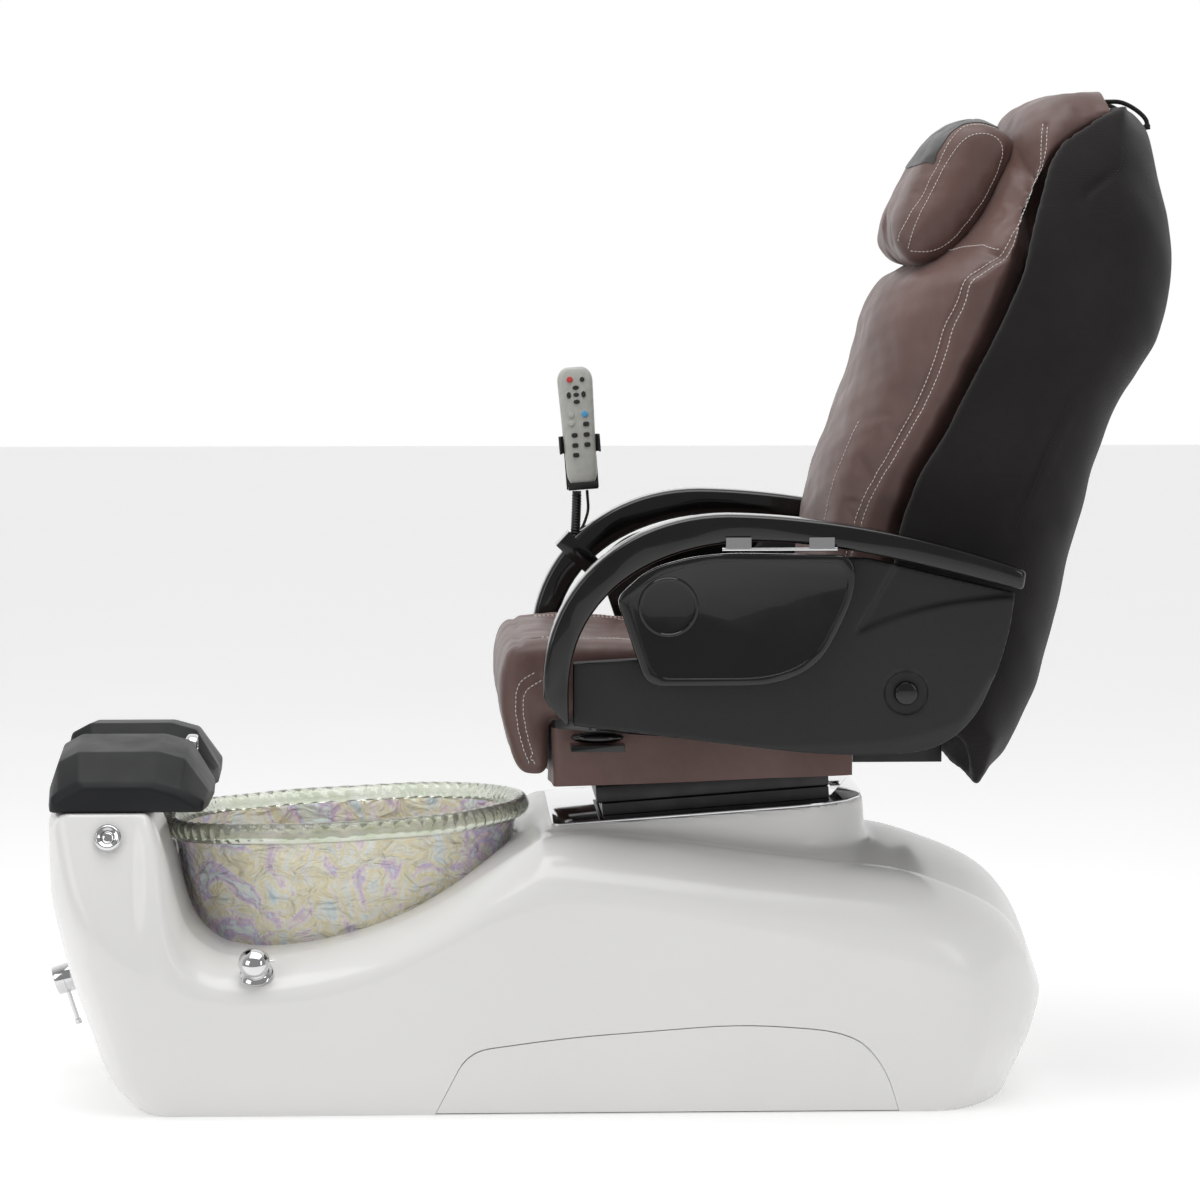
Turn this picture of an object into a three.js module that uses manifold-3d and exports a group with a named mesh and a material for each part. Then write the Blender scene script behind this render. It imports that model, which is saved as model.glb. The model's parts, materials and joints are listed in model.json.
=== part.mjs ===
// Pedicure spa chair: a moulded foot-bath base with a glass bowl, and a massage seat that slides and
// reclines on it. Millimetres. +X runs from the footrest to the backrest, +Y is the sitter's right,
// +Z is up, and the floor is z = 0.
import * as THREE from "three";
import { mergeVertices } from "three/addons/utils/BufferGeometryUtils.js";
import Module from "manifold-3d";

const wasm = await Module();
wasm.setup();

// ---------------------------------------------------------------- driving dimensions
const GAP = 0.4; // between pieces that touch
const CENTRE_X = 4; // middle of the chair's length, moved to x = 0 at the end

const BASE = { wall: 10, top: 406, halfWidth: 358, footHalfWidth: 338, panelGap: 1.2 };
const BOWL = { x: -364, z: 383, halfLength: 261, halfWidth: 217, tilt: 2.85, roundness: 2.3, hole: 25 };
const RAMP = { x: -75, z: 379, slope: 4.2, length: 441, halfWidth: 200 }; // the inclined seat plinth
const TRACK = { start: 73, end: 390, halfWidth: 152, height: 17 };
const CARRIAGE = { start: 66, end: 391, halfWidth: 150, bottom: 17.8, top: 42 };
const PIVOT = { x: 403, z: 571 }; // backrest hinge line
const ARM = { inner: 296, outer: 352 };
const PANEL = { inner: 290, outer: 318, wall: 4 };
const SIDE_PLATE = { inner: 262, outer: 268 };
const TRAY = { inner: 338, outer: 356, rim: 10, pocket: 3, cupX: 78, cupZ: 692, cupRadius: 36, cupDepth: 12 };
const TRAY_HINGE = { y: 356.5, z: 769.5, radius: 2.5 };
const SEAT = { halfWidth: 256, bottom: 524 };
const BACK = { lean: 21.8, shellHalfWidth: 256, cushionHalfWidth: 252 };
const REMOTE = { x: -19, y: 330, z: 907, length: 178, width: 54, depth: 22, tilt: -4.4 };

// ---------------------------------------------------------------- small helpers
const rad = THREE.MathUtils.degToRad;
const point = (x, y, z) => new THREE.Vector3(x, y, z);
const smooth = THREE.MathUtils.smoothstep;

// Value at x of a line through [x, value] pairs.
function along(pairs, x) {
  if (x <= pairs[0][0]) return pairs[0][1];
  for (let i = 1; i < pairs.length; i++) {
    const [x0, v0] = pairs[i - 1];
    const [x1, v1] = pairs[i];
    if (x <= x1) return v0 + ((v1 - v0) * (x - x0)) / (x1 - x0);
  }
  return pairs[pairs.length - 1][1];
}

function bareGeometry(geometry) {
  const source = geometry.index ? geometry.toNonIndexed() : geometry;
  const bare = new THREE.BufferGeometry();
  bare.setAttribute("position", source.getAttribute("position").clone());
  return mergeVertices(bare, 1e-3);
}

function signedVolume(geometry) {
  const at = geometry.attributes.position;
  const index = geometry.index.array;
  let sum = 0;
  for (let i = 0; i < index.length; i += 3) {
    const [a, b, c] = [0, 1, 2].map((k) => point().fromBufferAttribute(at, index[i + k]));
    sum += a.dot(b.cross(c));
  }
  return sum / 6;
}

// The same closed surface with its shared corners merged and its faces pointing out.
function outward(geometry) {
  const merged = bareGeometry(geometry);
  if (signedVolume(merged) < 0) merged.index.array.reverse();
  return merged;
}

function solidOf(geometry) {
  const closed = outward(geometry);
  const vertProperties = closed.attributes.position.array;
  const triVerts = new Uint32Array(closed.index.array);
  return new wasm.Manifold(new wasm.Mesh({ numProp: 3, vertProperties, triVerts }));
}

function geometryOf(solid) {
  const mesh = solid.getMesh();
  const made = new THREE.BufferGeometry();
  made.setAttribute("position", new THREE.BufferAttribute(new Float32Array(mesh.vertProperties), 3));
  made.setIndex(new THREE.BufferAttribute(new Uint32Array(mesh.triVerts), 1));
  return made;
}

const join = (first, ...rest) => geometryOf(rest.reduce((sum, g) => sum.add(solidOf(g)), solidOf(first)));
const cut = (first, ...rest) => geometryOf(rest.reduce((sum, g) => sum.subtract(solidOf(g)), solidOf(first)));
const common = (first, second) => geometryOf(solidOf(first).intersect(solidOf(second)));

function box(xLow, xHigh, yLow, yHigh, zLow, zHigh) {
  const made = new THREE.BoxGeometry(xHigh - xLow, yHigh - yLow, zHigh - zLow);
  return made.translate((xLow + xHigh) / 2, (yLow + yHigh) / 2, (zLow + zHigh) / 2);
}

// A skin through rings of equally many points, with both end rings closed by flat caps.
// flat gives the two coordinates in which an end ring is seen as a plane outline.
function loft(rings, flat) {
  const count = rings[0].length;
  const index = [];
  for (let r = 0; r + 1 < rings.length; r++) {
    for (let i = 0; i < count; i++) {
      const a = r * count + i;
      const b = r * count + ((i + 1) % count);
      index.push(a, b, b + count, a, b + count, a + count);
    }
  }
  const cap = (ring, start, reversed) => {
    const contour = ring.map((p) => new THREE.Vector2(...flat(p)));
    const turnsLeft = THREE.ShapeUtils.area(contour) > 0;
    for (const [i, j, k] of THREE.ShapeUtils.triangulateShape(contour, [])) {
      const left = THREE.ShapeUtils.area([contour[i], contour[j], contour[k]]) > 0;
      const keep = (left === turnsLeft) !== reversed;
      index.push(start + i, start + (keep ? j : k), start + (keep ? k : j));
    }
  };
  cap(rings[0], 0, true);
  cap(rings[rings.length - 1], (rings.length - 1) * count, false);
  const made = new THREE.BufferGeometry();
  const coordinates = rings.flat().flatMap((p) => [p.x, p.y, p.z]);
  made.setAttribute("position", new THREE.Float32BufferAttribute(coordinates, 3));
  made.setIndex(index);
  return outward(made);
}

// A skin through rings that closes on itself, as a ring-shaped piece does.
function closedLoft(rings) {
  const count = rings[0].length;
  const total = rings.length * count;
  const index = [];
  for (let r = 0; r < rings.length; r++) {
    for (let i = 0; i < count; i++) {
      const a = r * count + i;
      const b = r * count + ((i + 1) % count);
      const c = (a + count) % total;
      const d = (b + count) % total;
      index.push(a, b, d, a, d, c);
    }
  }
  const made = new THREE.BufferGeometry();
  const coordinates = rings.flat().flatMap((p) => [p.x, p.y, p.z]);
  made.setAttribute("position", new THREE.Float32BufferAttribute(coordinates, 3));
  made.setIndex(index);
  return outward(made);
}

// A closed outline through [x, y, radius] corners; a corner without a radius stays sharp.
function roundedShape(corners) {
  const shape = new THREE.Shape();
  corners.forEach(([x, y, radius = 0], i) => {
    const here = new THREE.Vector2(x, y);
    const before = corners[(i + corners.length - 1) % corners.length];
    const after = corners[(i + 1) % corners.length];
    const towards = (other) => {
      const step = new THREE.Vector2(other[0] - x, other[1] - y);
      return step.setLength(Math.min(radius, step.length() * 0.48)).add(here);
    };
    const start = towards(before);
    const end = towards(after);
    if (i === 0) shape.moveTo(start.x, start.y);
    else shape.lineTo(start.x, start.y);
    if (radius > 0) shape.quadraticCurveTo(x, y, end.x, end.y);
  });
  shape.closePath();
  return shape;
}

const asShape = (outline) => (Array.isArray(outline) ? roundedShape(outline) : outline);

// A side outline (x, z) carried across from yLow to yHigh.
function prism(outline, yLow, yHigh, curveSegments = 3) {
  const settings = { depth: yHigh - yLow, bevelEnabled: false, curveSegments };
  const made = new THREE.ExtrudeGeometry(asShape(outline), settings);
  return made.rotateX(Math.PI / 2).translate(0, yHigh, 0);
}

// A plan outline (x, y) carried up from zLow to zHigh.
function slab(outline, zLow, zHigh, curveSegments = 4) {
  const settings = { depth: zHigh - zLow, bevelEnabled: false, curveSegments };
  return new THREE.ExtrudeGeometry(asShape(outline), settings).translate(0, 0, zLow);
}

// A turned piece: profile gives [radius, distance] pairs, and distance runs along +Z.
function turned(profile, segments = 16) {
  const points = profile.map(([radius, distance]) => new THREE.Vector2(radius, distance));
  return outward(new THREE.LatheGeometry(points, segments)).rotateX(Math.PI / 2);
}

// Turns a piece built along +Z so that it runs along the given direction from the given place.
function aimed(geometry, direction, place) {
  const turn = new THREE.Quaternion().setFromUnitVectors(point(0, 0, 1), direction.clone().normalize());
  return geometry.applyQuaternion(turn).translate(place.x, place.y, place.z);
}

// A round bar or tube along a smooth route.
function tube(route, radius, steps, sides = 8, bore = 0) {
  const circle = (r) =>
    Array.from({ length: sides }, (_, i) => {
      const angle = (2 * Math.PI * i) / sides;
      return new THREE.Vector2(r * Math.cos(angle), r * Math.sin(angle));
    });
  const shape = new THREE.Shape(circle(radius));
  if (bore > 0) shape.holes.push(new THREE.Path(circle(bore)));
  const extrudePath = new THREE.CatmullRomCurve3(route.map((p) => point(...p)));
  return new THREE.ExtrudeGeometry(shape, { steps, extrudePath });
}

// Places a piece given on the inclined seat ramp: x along the ramp, z up from its plate.
const onRamp = (geometry) => geometry.rotateY(-rad(RAMP.slope)).translate(RAMP.x, 0, RAMP.z);

// Places a piece given in the bowl's own frame, whose origin is the middle of the rim.
const inBowl = (geometry) => geometry.rotateY(-rad(BOWL.tilt)).translate(BOWL.x, 0, BOWL.z);

// Places a piece given in the backrest's leaning frame, whose origin is the hinge line.
const onBack = (geometry) => geometry.rotateY(rad(BACK.lean)).translate(PIVOT.x, 0, PIVOT.z);

// ---------------------------------------------------------------- materials and the scene graph
const finishes = {
  gelcoat: { color: 0xf0efec, roughness: 0.15, metalness: 0 },
  glass: { color: 0xdfe4d2, roughness: 0.05, metalness: 0, transparent: true, opacity: 0.5 },
  chrome: { color: 0xd8d8da, roughness: 0.08, metalness: 1 },
  steel: { color: 0x8c8f92, roughness: 0.45, metalness: 1 },
  polyurethane: { color: 0x2b2c2f, roughness: 0.6, metalness: 0 },
  matteBlack: { color: 0x2a2a2b, roughness: 0.6, metalness: 0 },
  glossBlack: { color: 0x0c0b0b, roughness: 0.12, metalness: 0 },
  blackFabric: { color: 0x161414, roughness: 0.9, metalness: 0 },
  leather: { color: 0x5a4240, roughness: 0.5, metalness: 0 },
  pipe: { color: 0xb9bbb8, roughness: 0.4, metalness: 0 },
  silver: { color: 0xb3b7ae, roughness: 0.35, metalness: 0.2 },
  keyRed: { color: 0xd2453f, roughness: 0.5, metalness: 0 },
  keyBlue: { color: 0x49a6d8, roughness: 0.5, metalness: 0 },
  keyBlack: { color: 0x232323, roughness: 0.5, metalness: 0 },
};
const materials = {};
for (const [name, settings] of Object.entries(finishes)) {
  materials[name] = new THREE.MeshStandardMaterial({ name, ...settings });
}

const chair = new THREE.Group();
chair.position.x = -CENTRE_X;

function piece(name, geometry, finish) {
  const mesh = new THREE.Mesh(geometry, materials[finish]);
  mesh.name = name;
  chair.add(mesh);
  return mesh;
}

// A piece drawn on the +Y side, placed on both sides of the chair.
function pair(name, geometry, finish) {
  piece(name + "_right", geometry, finish);
  piece(name + "_left", geometry, finish).scale.y = -1;
}

// ---------------------------------------------------------------- base shell
// Height of the inner edge of the moulded shoulder, from the footrest column past the bowl to the tail.
const SHOULDER_EDGE = [
  [-800, 406], [-632, 406], [-612, 380], [-600, 340], [-588, 290], [-574, 250], [-552, 226], [-520, 211],
  [-480, 208], [-421, 214], [-353, 229], [-284, 253], [-216, 288], [-161, 324], [-120, 350], [-80, 370],
  [-40, 372], [50, 365], [200, 345], [330, 329], [394, 321], [470, 297], [540, 262], [575, 225], [605, 150],
];
// Height of the soft crease where the shoulder meets the side wall.
const CREASE = [
  [-800, 240], [-700, 240], [-659, 215], [-608, 182], [-554, 161], [-493, 155], [-419, 160],
  [-342, 176], [-246, 218], [-149, 267], [-53, 290], [45, 281], [190, 254], [335, 223], [470, 190], [605, 120],
];
const EDGE_HALF_WIDTH = [[-800, 285], [-640, 285], [-590, 268], [-540, 260], [-100, 260], [0, 240], [605, 225]];
const CROWN = [[-60, 0], [100, 18], [600, 34]];
const FRONT_FACE = [[0, -655], [30, -683], [99, -711], [203, -746], [300, -765], [406, -768]];
const REAR_FACE = [[0, 566], [30, 580], [90, 606], [140, 616], [200, 613], [250, 597], [300, 560], [420, 440]];

// Cross-section of the base at x, with every wall moved inwards by inset.
function baseSection(x, inset) {
  const edge = along(SHOULDER_EDGE, x) - inset;
  const crease = Math.min(along(CREASE, x), edge - 22);
  const half = along(EDGE_HALF_WIDTH, x) - inset * 0.6;
  const wall = BASE.halfWidth - inset;
  const rise = edge - crease;
  const column = 1 - smooth(x, -650, -600);
  const fall = (curved, straight, height) => {
    const share = curved + (straight - curved) * column;
    return [wall - share * (wall - half), crease + height * rise];
  };
  const right = [
    [BASE.footHalfWidth - inset, inset > 0 ? -5 : 0],
    [wall - 4, 90],
    [wall, crease],
    fall(0.16, 0.4, 0.4),
    fall(0.52, 0.86, 0.85),
    [half, edge],
    [half * 0.5, edge + along(CROWN, x) * 0.8],
    [0, edge + along(CROWN, x) + 0.5],
  ];
  const left = right.slice(0, -1).reverse().map(([y, z]) => [-y, z]);
  return [...right, ...left].map(([y, z]) => point(x, y, z));
}

// Plan outline of the base at height z: a long rectangle with blunt elliptical ends.
function basePlan(z, inset) {
  const front = along(FRONT_FACE, z) + inset;
  const rear = along(REAR_FACE, z) - inset;
  const half = BASE.halfWidth + 12 - inset;
  const ring = [];
  const corner = (x, reachX, reachY, side, from) => {
    for (let i = 0; i <= 3; i++) {
      const angle = rad(from + 30 * i);
      const y = side * (half - reachY) + reachY * Math.sin(angle);
      ring.push(point(x + reachX * Math.cos(angle), y, z));
    }
  };
  corner(rear - 190, 190, 290, 1, 0);
  corner(front + 95, 95, 190, 1, 90);
  corner(front + 95, 95, 190, -1, 180);
  corner(rear - 190, 190, 290, -1, 270);
  return ring;
}

function baseBody(inset) {
  const stations = [
    -790, -690, -632, -612, -594, -574, -552, -520, -480, -400, -300, -216, -150, -80, 50, 200, 330, 394,
    470, 540, 575, 605, 640,
  ];
  const sections = stations.map((x) => baseSection(x, inset));
  const levels = [inset > 0 ? -6 : 0, 30, 120, 200, 250, 300, 440];
  const plans = levels.map((z) => basePlan(z, inset));
  return common(
    loft(sections, (p) => [p.y, p.z]),
    loft(plans, (p) => [p.x, p.y]),
  );
}

// Plan outline of the raised plinth that carries the seat, in the ramp's frame.
function plinthOutline(inset) {
  const half = RAMP.halfWidth - inset;
  return [
    [inset, -half, 14],
    [RAMP.length - inset, -half, 110],
    [RAMP.length - inset, half, 110],
    [inset, half, 14],
  ];
}

// Oval slot behind the seat rails, where the seat's cables go down into the base.
function cableSlot(low, high) {
  const outline = [[404, -16, 6], [418, -16, 6], [418, 16, 6], [404, 16, 6]];
  return onRamp(slab(outline, low, high));
}

// Side outline of the service panel, which reaches down almost to the floor.
function servicePanelOutline(grow) {
  return [
    [-236 - grow, 3 - grow],
    [-192 - grow, 88 + grow, 30],
    [-60, 106 + grow, 60],
    [180, 124 + grow, 60],
    [330 + grow, 112 + grow, 60],
    [374 + grow, 62, 30],
    [393 + grow, 3 - grow],
  ];
}

const rimRing = (distance, height) => {
  const halfX = BOWL.halfLength - distance;
  const halfY = BOWL.halfWidth - distance;
  return ovalRing(halfX, halfY, height, BOWL.roundness);
};

function ovalRing(halfX, halfY, height, roundness, count = 24) {
  return Array.from({ length: count }, (_, i) => {
    const angle = (2 * Math.PI * i) / count;
    const power = (v) => Math.sign(v) * Math.abs(v) ** (2 / roundness);
    return point(halfX * power(Math.cos(angle)), halfY * power(Math.sin(angle)), height);
  });
}

// The room that the bowl takes in the base, with a little clearance.
function bowlRoom() {
  const clearance = 2;
  const profile = [[120, -230], [66, -222], [44, -196], [36, -150], [22, -60], [15, -30], [0, -18], [0, 90]];
  const rings = profile.map(([distance, height]) => rimRing(distance - clearance, height));
  return inBowl(loft(rings, (p) => [p.x, p.y]));
}

const AIR_SWITCH = { x: -679, z: 376, y: -302, radius: 19, tilt: 23 };
const airSwitchAxis = point(0, -Math.cos(rad(AIR_SWITCH.tilt)), Math.sin(rad(AIR_SWITCH.tilt)));
const airSwitchPlace = point(AIR_SWITCH.x, AIR_SWITCH.y, AIR_SWITCH.z);
const MIXER = { x: -733, z: 146, droop: 18 };
const mixerAxis = point(-Math.cos(rad(MIXER.droop)), 0, -Math.sin(rad(MIXER.droop)));
const mixerPlace = point(MIXER.x, 0, MIXER.z);
const DRAIN_CONTROL = { x: -478, y: -326, z: 193, rise: 50 };
const drainControlAxis = point(-0.12, -Math.cos(rad(DRAIN_CONTROL.rise)), Math.sin(rad(DRAIN_CONTROL.rise)));
const drainControlPlace = point(DRAIN_CONTROL.x, DRAIN_CONTROL.y, DRAIN_CONTROL.z);
const INLET = { x: 603, z: 84, lean: 24, halfWidth: 24, halfHeight: 15 };
const placeInlet = (geometry) => geometry.rotateY(rad(INLET.lean)).translate(INLET.x, 0, INLET.z);

const hole = (radius, axis, place, depth = 60) =>
  aimed(turned([[0, -depth], [radius, -depth], [radius, 30], [0, 30]], 16), axis, place);

function buildBase() {
  const outer = join(baseBody(0), onRamp(slab(plinthOutline(0), -150, -4)));
  const inner = join(baseBody(BASE.wall), onRamp(slab(plinthOutline(BASE.wall), -200, -4 - BASE.wall)));
  const shell = cut(
    outer,
    inner,
    bowlRoom(),
    hole(12, airSwitchAxis, airSwitchPlace),
    hole(12, mixerAxis, mixerPlace),
    hole(9, drainControlAxis, drainControlPlace),
    placeInlet(box(-40, 30, -INLET.halfWidth, INLET.halfWidth, -INLET.halfHeight, INLET.halfHeight)),
    cableSlot(-30, 10),
  );
  const opening = (grow) => prism(servicePanelOutline(grow), 300, 400);
  const openings = [opening(BASE.panelGap), opening(BASE.panelGap).scale(1, -1, 1)];
  piece("base_shell", cut(shell, ...openings), "gelcoat");
  pair("access_panel", common(shell, opening(0)), "gelcoat");
}
buildBase();

// ---------------------------------------------------------------- inside the base
function buildBaseFrame() {
  const bars = [];
  for (const side of [-1, 1]) {
    const [low, high] = side < 0 ? [-160, -120] : [120, 160];
    bars.push(box(-60, 330, low, high, 3, 43));
    bars.push(box(-50, -10, low, high, 40, 348));
    bars.push(box(225, 265, low, high, 40, 370));
    bars.push(onRamp(box(20, 345, low, high, -48, -14.5)));
  }
  for (const x of [-60, 60, 180, 290]) bars.push(box(x, x + 40, -140, 140, 3, 43));
  bars.push(onRamp(box(60, 100, -140, 140, -48, -14.5)));
  bars.push(onRamp(box(305, 345, -140, 140, -48, -14.5)));
  piece("base_frame", join(...bars), "steel");
  piece("control_box", join(box(70, 225, -70, 70, 43.4, 120), box(85, 210, -30, 30, 118, 128)), "matteBlack");
}
buildBaseFrame();

function buildBowl() {
  const outer = [[72, -214], [49, -190], [38, -150], [24, -60], [17, -24]];
  const rim = [[6, -21], [0, -11], [3, -2], [12, 2], [21, -4]];
  const inner = [[28, -20], [33, -60], [47, -150], [58, -186], [80, -205]];
  const holeRing = (height) => ovalRing(BOWL.hole, BOWL.hole, height, 2);
  const rings = [...outer, ...rim, ...inner].map(([distance, height]) => rimRing(distance, height));
  const geometry = inBowl(closedLoft([holeRing(-214), ...rings, holeRing(-206)]));
  piece("glass_bowl", geometry, "glass");
}
buildBowl();

function buildDrain() {
  const stem = BOWL.hole - 0.6;
  const profile = [[12, -203], [34, -203], [34, -205.5], [stem, -205.5], [stem, -252], [12, -252], [12, -203]];
  piece("bowl_drain", inBowl(turned(profile)), "chrome");
  const start = inBowl(box(-1, 1, -1, 1, -254, -252.6)).attributes.position;
  const top = point().fromBufferAttribute(start, 0);
  const route = [
    [BOWL.x + 12.6, 0, top.z - 1], [BOWL.x + 14, 0, 100], [BOWL.x + 35, 0, 72], [BOWL.x + 80, 0, 60],
    [BOWL.x + 150, 0, 56], [BOWL.x + 220, 0, 54],
  ];
  piece("drain_pipe", tube(route, 21, 9, 10, 17), "pipe");
}
buildDrain();

const JET = { z: 268, motorFace: -606, housingBack: -574, radius: 38 };
function buildJet() {
  const towardsBowl = point(1, 0, 0);
  const motor = [[0, 0], [40, 0], [40, 66], [30, 70], [30, 90], [0, 90]];
  piece("jet_motor", aimed(turned(motor), towardsBowl, point(JET.motorFace - 90, 0, JET.z)), "matteBlack");
  const housing = [
    [0, 0], [14, 0], [14, 6], [JET.radius, 6], [JET.radius, 24], [11, 24], [11, 21], [34, 21], [34, 9], [0, 9],
  ];
  piece("jet_housing", aimed(turned(housing), towardsBowl, point(JET.housingBack, 0, JET.z)), "gelcoat");
  const hub = turned([[0, 0], [9, 0], [9, 8], [0, 8]]);
  const blades = [0, 1, 2].map((i) => box(-28, 28, -2, 2, 0.5, 7).rotateZ(rad(60 * i)));
  const impeller = aimed(join(hub, ...blades), towardsBowl, point(JET.housingBack + 11, 0, JET.z));
  piece("jet_impeller", impeller, "matteBlack");
}
buildJet();

function buildInlet() {
  const block = (xLow, xHigh, grow) => {
    const halfY = INLET.halfWidth + grow;
    const halfZ = INLET.halfHeight + grow;
    return box(xLow, xHigh, -halfY, halfY, -halfZ, halfZ);
  };
  const flange = block(1.5, 5, 5);
  const body = block(-26, 3, -1);
  const socket = block(-14, 10, -5);
  piece("power_inlet", placeInlet(cut(join(flange, body), socket)), "matteBlack");
}
buildInlet();

// ---------------------------------------------------------------- controls on the base
function buildAirSwitch() {
  const lip = AIR_SWITCH.radius;
  const bezel = [
    [9.5, -22], [9.5, 6], [15, 8], [18, 6], [lip, 2], [lip, 0.8], [11.4, 0.8], [11.4, -22], [9.5, -22],
  ];
  const ring = turned(bezel, 16);
  piece("air_switch_bezel", aimed(ring, airSwitchAxis, airSwitchPlace), "chrome");
  const button = [[0, -10], [9, -10], [9, 5], [7, 6.2], [0, 6.6]];
  piece("air_switch_button", aimed(turned(button), airSwitchAxis, airSwitchPlace), "chrome");
}
buildAirSwitch();

function buildMixer() {
  const body = [[0, -30], [11.4, -30], [11.4, 0.5], [21, 0.5], [21, 4], [17, 5], [17, 17], [0, 17]];
  piece("mixer_body", aimed(turned(body), mixerAxis, mixerPlace), "chrome");
  const cap = turned([[0, 17.5], [19, 17.5], [20.5, 19], [20.5, 42], [18.5, 44.5], [0, 44.5]]);
  const pin = turned([[0, 0], [3.2, 0], [3.2, 44], [2.6, 46], [0, 46]], 10);
  const lever = pin.rotateX(rad(90)).translate(0, 0, 32);
  const down = join(cap, lever.rotateZ(rad(90)));
  piece("mixer_handle", aimed(down, mixerAxis, mixerPlace), "chrome");
}
buildMixer();

function buildDrainControl() {
  const collar = [[0, -26], [8.4, -26], [8.4, 1.5], [21, 1.5], [21, 4], [18, 6], [18, 14], [0, 14]];
  piece("drain_control_body", aimed(turned(collar), drainControlAxis, drainControlPlace), "chrome");
  const dome = [[0, 14.5], [18, 14.5], [21, 18], [21.5, 24], [19.5, 31], [15, 36.5], [8, 39.5], [0, 40.5]];
  const pin = turned([[0, 16], [2, 16], [2, 27], [0, 28]], 8).rotateX(rad(90)).translate(0, 0, 19);
  piece("drain_control_knob", aimed(join(turned(dome), pin), drainControlAxis, drainControlPlace), "chrome");
}
buildDrainControl();

// ---------------------------------------------------------------- footrest and hand sprayer
// Side outline of the footrest at one station across its width.
function footrestRing(y, top, inset) {
  const brow = Math.min(434, top - 22);
  return [
    [-768 + inset, 407], [-766 + inset, brow], [-754 + inset, top - 14], [-728 + inset, top],
    [-612 - inset, top], [-576 - inset, top - 10], [-543 - inset, brow - 6], [-545 - inset, 407],
  ].map(([x, z]) => point(x, y, z));
}

const SPRAYER = { x: -690, y: 16, z: 470, radius: 11 };
function buildFootrest() {
  const stations = [[272, 440, 14], [264, 450, 7], [212, 484, 2], [70, 494, 0], [36, 452, 6]];
  const far = stations.map(([y, top, inset]) => footrestRing(y, top, inset));
  const near = stations.map(([y, top, inset]) => footrestRing(-y, top, inset)).reverse();
  const socket = turned([[0, 425], [14, 425], [14, 520], [0, 520]], 16).translate(SPRAYER.x, SPRAYER.y, 0);
  const pad = cut(loft([...far, ...near], (p) => [p.x, p.z]), socket);
  piece("footrest", pad, "polyurethane");
  const { x, y, z, radius } = SPRAYER;
  const handle = [[0, 0], [9, 0], [radius, 6], [9.5, 60], [radius, 96], [18, 104], [19, 116], [0, 118]];
  const body = aimed(turned(handle, 16), point(1, 0, -0.05), point(x, y, z));
  const stem = turned([[0, 428], [10, 428], [10, 472], [0, 472]], 12).translate(x + 4, y, 0);
  piece("sprayer", join(body, stem), "chrome");
}
buildFootrest();

// ---------------------------------------------------------------- seat ramp and slide
function buildRamp() {
  const plate = onRamp(slab(plinthOutline(0.8), -4 + GAP, 0));
  piece("plinth_plate", cut(plate, cableSlot(-10, 10)), "chrome");
  const { start, end, halfWidth, height } = TRACK;
  const bed = box(start, end, -halfWidth, halfWidth, GAP, 5);
  const rails = [-1, 1].map((side) => {
    const [low, high] = side < 0 ? [-halfWidth, -108] : [108, halfWidth];
    return box(start, end, low, high, 4, height);
  });
  piece("slide_track", onRamp(join(bed, ...rails)), "matteBlack");
  const { bottom, top } = CARRIAGE;
  const hollow = box(CARRIAGE.start + 6, CARRIAGE.end - 6, -104, 104, 0, top - 6);
  const block = box(CARRIAGE.start, CARRIAGE.end, -CARRIAGE.halfWidth, CARRIAGE.halfWidth, bottom, top);
  piece("slide_carriage", onRamp(cut(block, hollow)), "matteBlack");
}
buildRamp();

// ---------------------------------------------------------------- seat structure
function buildSeatFrame() {
  const sidePlate = [
    [-40, 528], [-40, 590], [200, 590], [330, 640], [420, 640], [440, 560], [420, 530], [200, 505],
  ];
  const bars = [];
  for (const side of [-1, 1]) {
    const span = (low, high) => (side < 0 ? [-high, -low] : [low, high]);
    bars.push(box(-60, 343, ...span(150, 185), 462, 500));
    bars.push(box(-10, 30, ...span(100, 160), 462, 500));
    bars.push(prism(sidePlate, ...span(SIDE_PLATE.inner, SIDE_PLATE.outer)));
    for (const x of [205, 318]) {
      bars.push(box(x, x + 25, ...span(150, 264), 505, 521));
      bars.push(box(x, x + 25, ...span(150, 185), 490, 521));
    }
    bars.push(onRamp(box(100, 130, ...span(60, 140), CARRIAGE.top + GAP, 80)));
    bars.push(onRamp(box(340, 370, ...span(60, 160), CARRIAGE.top + GAP, 62)));
  }
  for (const x of [0, 290]) bars.push(box(x, x + 40, -160, 160, 462, 500));
  const bores = turned([[0, -300], [11, -300], [11, 300], [0, 300]], 20).rotateX(rad(90));
  piece("seat_frame", cut(join(...bars), bores.translate(PIVOT.x, 0, PIVOT.z)), "steel");
}
buildSeatFrame();

function buildSkirt() {
  const thickness = 3;
  const [front, rear, half] = [-76, 336, 252.5];
  const outer = prism([[front, 437], [rear, 452], [rear, 486], [front, 518]], -half, half);
  const inner = box(front + thickness, rear + 20, thickness - half, half - thickness, 400, 560);
  piece("seat_skirt", cut(outer, inner), "leather");
}
buildSkirt();

function buildSeatCushion() {
  const outline = [
    [-152, 556, 40], [-140, 634, 36], [-60, 640, 60], [120, 630, 60], [330, 604, 20], [330, SEAT.bottom, 12],
    [-78, SEAT.bottom, 6], [-82, 450, 18], [-124, 450, 28],
  ];
  piece("seat_cushion", prism(outline, -SEAT.halfWidth, SEAT.halfWidth), "leather");
}
buildSeatCushion();

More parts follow.
